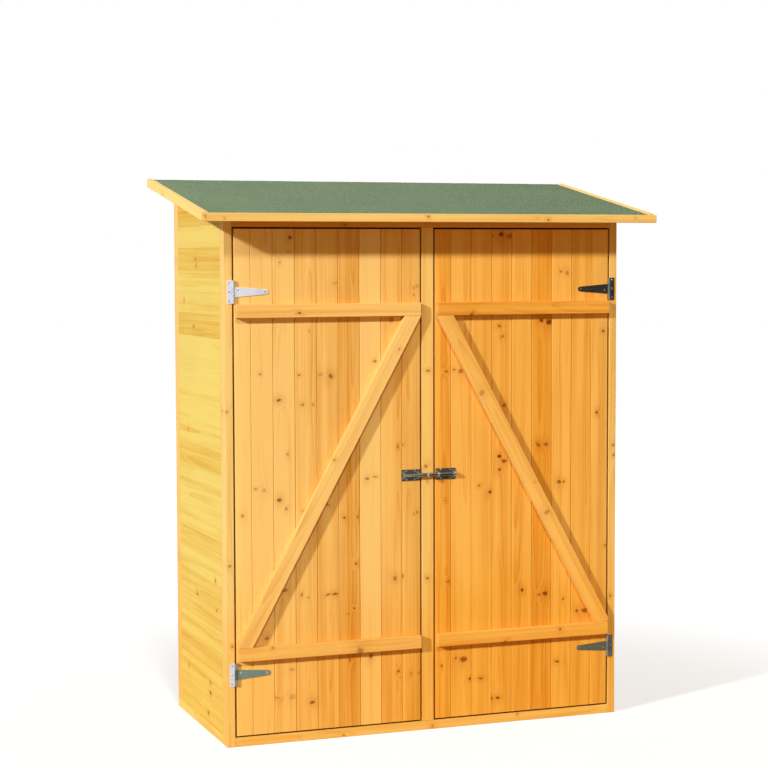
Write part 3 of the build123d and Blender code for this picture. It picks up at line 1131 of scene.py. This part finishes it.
class SHED_OT_doors(bpy.types.Operator):
    """Build the boards of both doors, with the nails that hold their ledges"""

    bl_idname = "shed.doors"
    bl_label = "Door boards"
    bl_options = {"REGISTER", "UNDO"}

    # For each door: its boards' tones and warmths from left to right, how dark its knots are, and the knots
    # themselves, measured from its lower left corner, in millimetres.
    tones = {
        "left": (-0.16, -0.24, -0.14, 0.04, 0.10, 0.34, -0.26, 0.10, 0.04),
        "right": (0.30, 0.02, 0.06, 0.14, 0.12, 0.34, 0.04, 0.16, -0.04),
    }
    depths = {"left": (0.25, 0.80), "right": (0.45, 0.95)}
    warmths = {
        "left": (0.0, 0.0, 0.0, 0.10, 0.18, 0.16, 0.0, 0.30, 0.42),
        "right": (0.84, 0.72, 0.78, 0.82, 0.80, 1.0, 0.74, 0.76, 0.66),
    }
    knots = {
        "left": (
            (160, 1375, 4.6), (165, 1415, 7.0), (135, 1345, 4.0), (300, 1285, 5.6), (550, 1275, 5.0),
            (540, 1270, 3.4), (540, 1250, 3.4), (470, 1180, 8.0), (220, 1150, 3.4), (420, 1060, 4.6),
            (255, 1025, 8.0), (285, 1020, 5.2), (190, 1025, 3.0), (75, 1030, 3.0), (130, 955, 4.6),
            (200, 940, 4.2), (230, 940, 3.2), (155, 800, 3.8), (490, 810, 4.4), (505, 815, 2.8),
            (395, 720, 5.0), (420, 725, 4.2), (60, 705, 2.4), (85, 700, 5.0), (130, 670, 4.4),
            (150, 645, 4.6), (20, 630, 4.6), (200, 635, 4.4), (275, 650, 4.6), (365, 610, 5.0),
            (325, 610, 3.4), (550, 615, 3.4), (540, 610, 2.6), (360, 475, 4.6), (480, 425, 5.0),
            (505, 430, 3.4), (275, 390, 4.8), (295, 390, 5.4), (195, 395, 3.8), (215, 385, 3.8),
            (145, 410, 5.0), (355, 345, 3.4), (335, 330, 3.6), (90, 275, 4.6), (405, 200, 5.4),
            (340, 195, 4.2), (165, 180, 5.6), (490, 150, 3.6), (495, 130, 3.0), (530, 140, 5.4),
            (555, 140, 3.2), (120, 105, 6.0), (165, 100, 6.4), (150, 110, 2.6), (225, 80, 4.6),
        ),
        "right": (
            (210, 1425, 5.6), (240, 1420, 8.4), (185, 1420, 3.6), (425, 1310, 6.0), (405, 1315, 3.0),
            (340, 1170, 6.0), (365, 1165, 9.6), (205, 1155, 4.2), (215, 1125, 4.6), (545, 1135, 4.2),
            (35, 1025, 4.8), (60, 1030, 3.8), (80, 1025, 5.4), (220, 920, 4.6), (525, 890, 5.4),
            (205, 770, 4.2), (220, 755, 5.2), (205, 730, 4.2), (330, 800, 6.4), (355, 800, 6.0),
            (400, 685, 4.4), (415, 685, 3.6), (140, 685, 3.8), (175, 665, 4.8), (30, 645, 2.6),
            (40, 405, 4.2), (555, 485, 3.0), (280, 365, 5.0), (355, 350, 6.6), (335, 348, 5.6),
            (415, 330, 4.8), (460, 290, 4.6), (485, 290, 6.6), (65, 175, 4.6), (90, 170, 6.8),
            (110, 110, 4.0), (145, 108, 4.4), (180, 45, 4.8), (200, 45, 5.2), (395, 140, 4.6),
            (20, 155, 3.6),
        ),
    }

    def execute(self, context):
        make_materials(context.scene.shed_stains)
        boards = context.scene.shed_boards
        for hand, first in (("left", boards.left_first), ("right", boards.right_first)):
            low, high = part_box(f"{hand}_door_boards")
            self.panel(hand, first, low, high, boards)
            self.nails(hand, low, high, context.scene.shed_ironwork)
        return {"FINISHED"}

    def panel(self, hand, first, low, high, boards):
        """The boards of one door side by side, the outer two ripped to its width."""
        node = f"{hand}_door_boards"
        start = Vector((low.x + first - boards.door_width, low.y, low.z))
        end = Vector((low.x + first, high.y, high.z))
        pattern = matched_board(start, end, UP, -BACK, boards.groove, boards.door_joint, boards)
        laying = random.Random(node)
        pieces = []
        for number, (tone, warmth) in enumerate(zip(self.tones[hand], self.warmths[hand])):
            slack = laying.uniform(-1, 1) * boards.slack
            board = copied(pattern, shift(x=number * boards.door_width + slack))
            left = start.x + number * boards.door_width
            if left < low.x + boards.slack:
                cut(board, low, -RIGHT)
            if left + boards.door_width > high.x - boards.slack:
                cut(board, high, RIGHT)
            if number == 0:
                self.round_edge(board, low.x, low.y, boards)
            if number == len(self.tones[hand]) - 1:
                self.round_edge(board, high.x, low.y, boards)
            soften(board, boards.crisp, 1)
            left = max(left, low.x)
            right = min(start.x + (number + 1) * boards.door_width, high.x)
            knots = [
                Knot(
                    height / 1000,
                    place / 1000 + low.x - left,
                    radius / 1000,
                    laying.uniform(*self.depths[hand]),
                )
                for place, height, radius in self.knots[hand]
                if left <= place / 1000 + low.x < right
            ]
            pieces.append(grain(board, f"{node}_{number}", UP, -BACK, knots, tone, warmth))
        removed(pattern)
        stand_for(joined(pieces), f"{hand}_door_panel", "door_boards", node)

    def round_edge(self, board, side, front, boards):
        """Round the upright edge of a door, at one side of its face."""
        corner = Vector((side, front, 0))

        def on_corner(edge):
            place = middle(edge)
            return edge_runs(edge, UP) and (place - corner).to_2d().length < 1e-5

        bevel(board, on_corner, boards.door_edge, 3)

    def nails(self, hand, low, high, iron):
        """Two nails through every board into each ledge, seen on the inside of the door."""
        proud = 0.0003
        sunk = 0.001
        spread = 0.010
        count = 9
        nail = round_bar((0, 0, 0), (0, sunk + proud, 0), iron.nail, 12)
        soften(nail, proud * 0.8, 1)
        nails = []
        for place in ("top", "bottom"):
            foot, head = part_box(f"{hand}_door_{place}_ledge")
            level = (foot.z + head.z) / 2
            for number in range(count):
                across = low.x + (number + 0.5) * (high.x - low.x) / count
                for side in (-1, 1):
                    spot = shift(across + side * spread, high.y - sunk, level + side * spread)
                    nails.append(copied(nail, spot))
        removed(nail)
        fasten(nails, f"{hand}_door_nails", f"{hand}_door")


class SHED_OT_ledges(bpy.types.Operator):
    """Build the ledges and the braces of both doors"""

    bl_idname = "shed.ledges"
    bl_label = "Ledges and braces"
    bl_options = {"REGISTER", "UNDO"}

    # For each timber: its tone, its warmth and its knots, in millimetres from its left or lower end.
    timbers = {
        "left_door_top_ledge": (0.02, 0.22, ((185, 25, 3.6),)),
        "left_door_bottom_ledge": (0.04, 0.10, ((365, 33, 8.0), (100, 4, 4.2))),
        "left_door_brace": (-0.12, 0.0, ((600, 6, 4.5), (970, 30, 3.0))),
        "right_door_top_ledge": (0.30, 0.90, ((105, 35, 3.0), (112, 31, 3.6))),
        "right_door_bottom_ledge": (0.05, 0.50, ((215, 37, 3.4), (395, 12, 3.0))),
        "right_door_brace": (-0.06, 0.55, ((400, 22, 7.5), (500, 30, 3.5), (820, 12, 6.0))),
    }

    def execute(self, context):
        make_materials(context.scene.shed_stains)
        boards = context.scene.shed_boards
        for node, (tone, warmth, knots) in self.timbers.items():
            # The sides are painted shade, strong on a brace and faint on a ledge, and lose their warmth,
            # which paints the side that the key light strikes paler.
            if node.endswith("brace"):
                timber, along = self.brace(node, boards)
                edge = 0.6
            else:
                timber, along = self.ledge(node, boards)
                edge = 0.1
            soften(timber, boards.eased)
            grain(timber, node, along, -BACK, knots_at(knots), tone, warmth, edge=edge, rim=0.0)
            stand_for(timber, f"{node}_timber", "door_ledges", node)
        return {"FINISHED"}

    def ledge(self, node, boards):
        """A ledge across the door, and the run of its grain."""
        ledge = block(*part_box(node))
        divide(ledge, RIGHT, boards.section)
        return ledge, RIGHT

    def brace(self, node, boards):
        """A brace, cut to the ledges and to the door's hinge edge, and the run of its grain."""
        side = -1 if node.startswith("left") else 1
        margin = 0.10
        low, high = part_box(node)
        hinge_end, free_end = (low.x, high.x) if side < 0 else (high.x, low.x)
        toe = Vector((hinge_end - side * boards.brace_foot, 0, low.z))
        peak = Vector((free_end, 0, high.z))
        reach = (peak - toe).length
        lean = atan2(peak.x - toe.x, peak.z - toe.z)
        outward = (0, boards.brace) if side > 0 else (-boards.brace, 0)
        bar = block((outward[0], low.y, -margin), (outward[1], high.y, reach + margin))
        divide(bar, UP, boards.section)
        moved(bar, Matrix.Translation(toe) @ Matrix.Rotation(lean, 4, "Y"))
        cut(bar, low, -UP)
        cut(bar, high, UP)
        cut(bar, (hinge_end, 0, 0), RIGHT * side)
        return bar, (peak - toe).normalized()


def screw_head(iron):
    """A screw's head with a cross in it, facing the front."""
    depth = iron.screw_height
    head = round_bar((0, 0, 0), (0, -depth, 0), iron.screw, 24)
    bevel(head, lambda edge: all(vertex.co.y < -depth * 0.9 for vertex in edge.verts), depth * 0.7, 3)
    arm = iron.screw * 0.62
    blade = iron.screw * 0.13
    sunk = depth * 0.6
    for reach, height in ((arm, blade), (blade, arm)):
        slot = block((-reach, -2 * depth, -height), (reach, -depth + sunk, height))
        head = combine(head, slot, "DIFFERENCE")
    pick(head)
    bpy.ops.object.shade_smooth_by_angle(angle=SHARP)
    return head


def screws_at(pattern, places, seed):
    """Copies of a screw at places on a face, each turned its own way."""
    chance = random.Random(seed)
    return [
        copied(pattern, shift(*place) @ Matrix.Rotation(chance.uniform(0, pi), 4, "Y")) for place in places
    ]


def tinged(piece, tarnish_and_painted_reflection, cast=0.0, aged=0.0, barrel=None, knuckles=0.0):
    """Mark how far a piece of metal is tarnished and darkened as a painted reflection, how blue-green and
    how yellowed it is, and how dark its knuckles are painted to shade their highlight.
    """
    mesh = piece.data
    tint = np.tile((tarnish_and_painted_reflection, cast, aged), (len(mesh.loops), 1))
    # Darker knuckles are painted shade over the highlight on their barrels.
    if barrel:
        for loop in mesh.loops:
            place = mesh.vertices[loop.vertex_index].co
            if hypot(place.x, place.y) < barrel * 1.02:
                tint[loop.index, 0] = max(tarnish_and_painted_reflection, knuckles)
    write_mark(mesh, "tint", tint)
    return piece


class SHED_OT_hinges(bpy.types.Operator):
    """Build the four strap hinges"""

    bl_idname = "shed.hinges"
    bl_label = "Strap hinges"
    bl_options = {"REGISTER", "UNDO"}

    # How tarnished and darkened, how blue-green and how yellowed each hinge's leaf and strap are, and how
    # dark its knuckles are: partly tarnish, with painted dark reflections on the right hinges, a painted
    # green reflection on the lower left strap, and painted shade on the knuckles.
    tinges = {
        "left_upper": ((0.0, 0.0, 0.0), (0.0, 0.0, 0.0), 0.25),
        "left_lower": ((0.10, 0.10, 0.0), (0.30, 0.90, 0.10), 0.75),
        "right_upper": ((0.75, 0.10, 0.10), (0.85, 0.0, 0.10), 0.60),
        "right_lower": ((0.30, 0.10, 0.10), (0.40, 0.60, 0.70), 0.50),
    }

    def execute(self, context):
        make_materials(context.scene.shed_stains)
        iron = context.scene.shed_ironwork
        screw = screw_head(iron)
        low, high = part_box("left_upper_hinge_plate")
        leaf = self.leaf(low, high, iron)
        low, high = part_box("left_upper_hinge_strap")
        reach = high.x - low.x - iron.barrel
        strap = self.strap(reach, iron)
        front = iron.barrel - iron.metal
        levels = (-iron.leaf_spacing, 0.0, iron.leaf_spacing)
        leaf_screws = [(-iron.leaf_screw, front, level) for level in levels]
        strap_screws = [(iron.root_screw, front, iron.root_rise), (reach - iron.tip_screw, front, 0.0)]
        for key, (leaf_tinge, strap_tinge, knuckles) in self.tinges.items():
            seat = self.seat(key, iron)
            fitted = (
                (leaf, f"{key}_hinge_plate", leaf_screws, leaf_tinge),
                (strap, f"{key}_hinge_strap", strap_screws, strap_tinge),
            )
            for pattern, node, places, tinge in fitted:
                piece = tinged(copied(pattern, Matrix()), *tinge, iron.barrel, knuckles)
                stand_for(moved(piece, seat), f"{node}_leaf", "zinc_hinge", node)
                screws = [moved(one, seat) for one in screws_at(screw, places, node)]
                fasten(screws, f"{node}_screws", frame["nodes"][node]["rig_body"])
        for pattern in (leaf, strap, screw):
            removed(pattern)
        return {"FINISHED"}

    def seat(self, key, iron):
        """The matrix that takes a hinge from its own axis to its place on the shed."""
        low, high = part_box(f"{key}_hinge_plate")
        level = (low.z + high.z) / 2
        if key.startswith("left"):
            return shift(high.x - iron.barrel, low.y + iron.barrel, level)
        return shift(low.x + iron.barrel, low.y + iron.barrel, level) @ Matrix.Rotation(pi, 4, "Y")

    def leaf(self, low, high, iron):
        """The leaf on the post, with its two knuckles and the pin, about the hinge's axis."""
        half = (high.z - low.z) / 2
        width = high.x - low.x - iron.barrel
        notch = iron.barrel + iron.knuckle_gap
        clear = iron.root_height / 2 + iron.knuckle_gap
        plate = block((-width, iron.barrel - iron.metal, -half), (-notch, iron.barrel, half))
        for level in (-clear, clear):
            cut(plate, (0, 0, level), UP, keep=True)
        extrude(plate, lambda face: face.normal.x > 0.9 and abs(middle(face).z) > clear, (notch, 0, 0))
        done()
        self.round_corners(plate, lambda edge: middle(edge).x < -width + 1e-5, iron.corner)
        proud = 0.0003
        pin_edge = 0.0002
        for end in (-1, 1):
            knuckle = round_bar((0, 0, end * clear), (0, 0, end * (half - proud)), iron.barrel, 32)
            plate = combine(plate, knuckle, "UNION")
        pin = round_bar((0, 0, -half), (0, 0, half), iron.pin, 20)
        soften(pin, pin_edge, 1)
        soften(plate, iron.metal_edge)
        return joined([plate, pin])

    def strap(self, reach, iron):
        """The strap on the door, with the middle knuckle, about the hinge's axis."""
        half_root = iron.root_height / 2
        back = iron.barrel
        strap = block((0, back - iron.metal, -half_root), (iron.root_length, back, half_root))
        extrude(strap, lambda face: face.normal.x > 0.9, (reach - iron.root_length, 0, 0))
        taper = iron.tip_height / iron.root_height
        bpy.ops.transform.resize(value=(1, 1, taper), center_override=(reach, back, 0))
        done()
        self.round_corners(strap, lambda edge: middle(edge).x > reach - 1e-5, iron.tip_height * 0.47)
        knuckle = round_bar((0, 0, -half_root), (0, 0, half_root), iron.barrel, 32)
        strap = combine(strap, knuckle, "UNION")
        soften(strap, iron.metal_edge)
        return strap

    def round_corners(self, plate, at, radius):
        """Round a plate's corners where they pass a test."""
        bevel(plate, lambda edge: edge_runs(edge, BACK) and at(edge), radius, 6)


class SHED_OT_bolt(bpy.types.Operator):
    """Build the sliding bolt, its plates and its keeper"""

    bl_idname = "shed.bolt"
    bl_label = "Sliding bolt"
    bl_options = {"REGISTER", "UNDO"}

    def execute(self, context):
        make_materials(context.scene.shed_stains)
        iron = context.scene.shed_ironwork
        screw = screw_head(iron)
        self.plate("bolt_plate", True, screw, iron)
        self.plate("keeper_plate", False, screw, iron)
        removed(screw)
        self.rod(iron)
        return {"FINISHED"}

    def plate(self, node, slotted, screw, iron):
        """A plate with its two staples and its screws."""
        low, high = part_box(node)
        plate_front = high.y - iron.plate
        plate = block((low.x, plate_front, low.z), high)
        bevel(plate, lambda edge: edge_runs(edge, BACK), iron.corner, 4)
        soften(plate, iron.metal_edge)
        # The plate is darkened as a painted dark reflection as well as tarnish, and a little yellowed.
        parts = [tinged(plate, tarnish_and_painted_reflection=0.75, aged=0.30)]
        ends = (low.x + iron.staple_inset, high.x - iron.staple_inset - iron.staple_width)
        for start in ends:
            parts.append(tinged(self.staple(start, low, high, slotted, iron), tarnish_and_painted_reflection=0.0))
        level = (low.z + high.z) / 2
        places = [
            (place, plate_front, level + side * iron.plate_screw)
            for place in (ends[0] + iron.staple_width + iron.screw_inset, ends[1] - iron.screw_inset)
            for side in (-1, 1)
        ]
        stand_for(joined(parts), f"{node}_fitting", "bolt_steel", node)
        fasten(screws_at(screw, places, node), f"{node}_screws", frame["nodes"][node]["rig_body"])

    def staple(self, start, low, high, slotted, iron):
        """A strip bent round the rod, with a foot on the plate above and below."""
        axis_y = self.axis_y(iron)
        level = (low.z + high.z) / 2
        plate_front = high.y - iron.plate
        outside = axis_y - low.y
        bore = iron.rod + iron.bore_room
        metal = outside - bore
        bend = plate_front - metal
        opening = asin(iron.slot / 2 / bore) if slotted else 0.0
        halves = []
        for side in (-1, 1):
            strip = block((start, axis_y, level + bore), (start + iron.staple_width, bend, level + outside))
            extrude(strip, lambda face: face.normal.y > 0.9, (0, metal, 0))
            done()
            foot = (0, 0, iron.staple_foot)
            extrude(strip, lambda face: face.normal.z > 0.9 and middle(face).y > bend, foot)
            done()
            edit(strip, "FACE", lambda face: face.normal.y < -0.9 and middle(face).y < axis_y + 1e-6)
            bpy.ops.mesh.spin(
                steps=8, angle=pi / 2 - opening, center=(start, axis_y, level), axis=(-1, 0, 0)
            )
            done()
            if min(vertex.co.y for vertex in strip.data.vertices) > axis_y - bore * 0.5:
                raise RuntimeError("the staple was bent the wrong way")
            if side < 0:
                moved(strip, shift(z=level) @ Matrix.Diagonal((1, 1, -1, 1)) @ shift(z=-level))
                edit(strip, "FACE", lambda face: True)
                bpy.ops.mesh.normals_make_consistent(inside=False)
                done()
            halves.append(strip)
        staple = joined(halves)
        edit(staple, "FACE", lambda face: True)
        bpy.ops.mesh.remove_doubles(threshold=1e-6)
        done()
        soften(staple, iron.metal_edge)
        return staple

    def axis_y(self, iron):
        """How far back the rod's axis lies."""
        low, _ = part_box("keeper_plate")
        return low.y + iron.rod + iron.bore_room + iron.plate

    def rod(self, iron):
        """The rod with its chamfered ends and its knob."""
        low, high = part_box("bolt_rod")
        level = (low.z + high.z) / 2
        axis_y = high.y - iron.rod
        rod = round_bar((low.x, axis_y, level), (high.x, axis_y, level), iron.rod, 40)

        def on_end(edge):
            place = middle(edge).x
            return min(abs(place - low.x), abs(place - high.x)) < 1e-5

        bevel(rod, on_end, iron.rod_end, 3)
        sunk = 0.001
        knob_x = iron.knob_place
        shoulder = low.y + iron.knob_height
        stem = round_bar((knob_x, axis_y, level), (knob_x, shoulder + sunk, level), iron.knob_stem, 24)
        rod = combine(rod, stem, "UNION")
        knob = round_bar((knob_x, shoulder, level), (knob_x, low.y, level), iron.knob, 32)
        soften(knob, iron.knob_edge, 5)
        pick(rod)
        bpy.ops.object.shade_smooth_by_angle(angle=SHARP)
        # The rod is darkened as a painted dark reflection, leaving a thin highlight; the knob only a little.
        tinged(rod, tarnish_and_painted_reflection=0.80)
        tinged(knob, tarnish_and_painted_reflection=0.1)
        stand_for(joined([rod, knob]), "bolt_rod_and_knob", "bolt_rod_steel", "bolt_rod")


class SHED_OT_stage(bpy.types.Operator):
    """Set up the floor, the lights and the camera"""

    bl_idname = "shed.stage"
    bl_label = "Studio"
    bl_options = {"REGISTER", "UNDO"}

    def execute(self, context):
        scene = context.scene
        stage = scene.shed_stage
        scene.view_settings.view_transform = "Standard"
        self.floor(stage, scene.shed_stains)
        self.world(scene, stage, scene.shed_stains)
        self.lamp("key_light", stage.key_travel, stage.key_strength, stage.key_softness, stage.key_colour)
        self.lamp(
            "front_light", stage.front_travel, stage.front_strength, stage.front_softness, stage.front_colour
        )
        self.cards(scene.shed_stains)
        self.camera(scene, stage)
        return {"FINISHED"}

    def floor(self, stage, stains):
        """A pale floor that fades to plain white away from the shed."""
        deselect()
        bpy.ops.mesh.primitive_circle_add(vertices=96, radius=stage.floor_reach, fill_type="NGON")
        floor = bpy.context.object
        floor.name = "studio_floor"
        finish = Finish("studio_floor")
        seen = finish.larger(*self.seen_rays(finish))
        paint = finish.mix(seen, stains.floor_bounce, stains.floor)
        finish.set(Base_Color=paint, Roughness=0.9, Specular_IOR_Level=0.1)
        measure = {"operation": "LENGTH"}
        distance = finish.node("ShaderNodeVectorMath", measure, {0: finish.place()}, output=1)
        fade = (finish.step(distance, 0.8, 2.4) * 0.45 + 0.55) * seen
        white = finish.node("ShaderNodeEmission", inputs={"Color": (1, 1, 1), "Strength": 1.1})
        surface = Value(finish, finish.surface.outputs[0])
        blend = finish.node("ShaderNodeMixShader", inputs={0: fade, 1: surface, 2: white})
        finish.feed(finish.tree.nodes["Material Output"].inputs[0], blend)
        floor.data.materials.append(finish.material)

    def seen_rays(self, shader):
        """Whether a ray comes from the camera, a reflection or through glass."""
        rays = shader.node("ShaderNodeLightPath").socket.node
        names = ("Is Camera Ray", "Is Glossy Ray", "Is Transmission Ray")
        return [Value(shader, rays.outputs[name]) for name in names]

    def world(self, scene, stage, stains):
        """White to the camera and in reflections, and a soft light all round."""
        scene.world = bpy.data.worlds.new("studio")
        scene.world.use_nodes = True
        shader = Shader(scene.world.node_tree)
        seen = shader.larger(*self.seen_rays(shader))
        background = scene.world.node_tree.nodes["Background"]
        shader.feed(background.inputs["Color"], shader.mix(seen, stains.sky, (1, 1, 1)))
        shader.feed(background.inputs["Strength"], seen * (1 - stage.sky_strength) + stage.sky_strength)

    def lamp(self, name, travel, strength, softness, tinge):
        """A light like the sun, which travels one way everywhere."""
        deselect()
        bpy.ops.object.light_add(type="SUN", location=Vector(travel) * -4)
        lamp = bpy.context.object
        lamp.name = name
        lamp.rotation_euler = Vector(travel).to_track_quat("-Z", "Y").to_euler()
        lamp.data.energy = strength
        lamp.data.angle = softness
        lamp.data.color = tinge

    def cards(self, stains):
        """A dark card and a dark mat, right of the camera, that only show in reflections."""
        finish = Finish("studio_card")
        finish.set(Base_Color=stains.card, Roughness=1.0)
        cards = (
            ("studio_card", (2.6, -3.15, 1.3), (pi / 2, 0, radians(39)), (3.6, 2.6, 1)),
            ("studio_mat", (2.3, -2.4, 0.002), (0, 0, 0), (4.0, 3.8, 1)),
        )
        for name, place, turn, size in cards:
            deselect()
            bpy.ops.mesh.primitive_plane_add(size=1, location=place, rotation=turn)
            card = bpy.context.object
            card.name = name
            card.scale = size
            card.data.materials.append(finish.material)
            for ray in ("camera", "diffuse", "shadow", "transmission", "volume_scatter"):
                setattr(card, f"visible_{ray}", False)

    def camera(self, scene, stage):
        """The camera, at the place that shows the shed from its front left."""
        deselect()
        bpy.ops.object.camera_add()
        camera = bpy.context.object
        camera.name = "studio_camera"
        turn = Matrix.Rotation(-stage.camera_turn, 4, "Z")
        dip = Matrix.Rotation(pi / 2 - stage.camera_dip, 4, "X")
        roll = Matrix.Rotation(stage.camera_roll, 4, "Z")
        camera.matrix_world = Matrix.Translation(stage.camera_place) @ turn @ dip @ roll
        camera.data.lens = stage.lens
        camera.data.shift_x, camera.data.shift_y = stage.shift
        camera.data.clip_end = 60
        scene.camera = camera


GROUPS = {
    "shed_boards": ShedBoards,
    "shed_roof": ShedRoof,
    "shed_ironwork": ShedIronwork,
    "shed_stains": ShedStains,
    "shed_stage": ShedStage,
}
OPERATORS = (
    SHED_OT_frame_timbers,
    SHED_OT_walls,
    SHED_OT_floor,
    SHED_OT_roof,
    SHED_OT_felt,
    SHED_OT_doors,
    SHED_OT_ledges,
    SHED_OT_hinges,
    SHED_OT_bolt,
    SHED_OT_stage,
)


class SHED_PT_panel(bpy.types.Panel):
    """The shed's panel in the sidebar"""

    bl_idname = "SHED_PT_panel"
    bl_label = "Tool Shed"
    bl_space_type = "VIEW_3D"
    bl_region_type = "UI"
    bl_category = "Shed"

    def draw(self, context):
        for operator in OPERATORS:
            self.layout.operator(operator.bl_idname)
        for name, group in GROUPS.items():
            column = self.layout.column()
            column.label(text=group.__doc__)
            for setting in group.__annotations__:
                column.prop(getattr(context.scene, name), setting)


def register():
    """Register the shed's settings, operators and panel."""
    for name, group in GROUPS.items():
        bpy.utils.register_class(group)
        setattr(bpy.types.Scene, name, PointerProperty(type=group))
    for operator in (*OPERATORS, SHED_PT_panel):
        bpy.utils.register_class(operator)


def unregister():
    """Take the shed's settings, operators and panel away again."""
    for operator in (SHED_PT_panel, *reversed(OPERATORS)):
        bpy.utils.unregister_class(operator)
    for name, group in reversed(GROUPS.items()):
        delattr(bpy.types.Scene, name)
        bpy.utils.unregister_class(group)


def main():
    """Build the whole shed."""
    register()
    for operator in OPERATORS:
        group, name = operator.bl_idname.split(".")
        getattr(getattr(bpy.ops, group), name)()


if __name__ == "__main__":
    main()
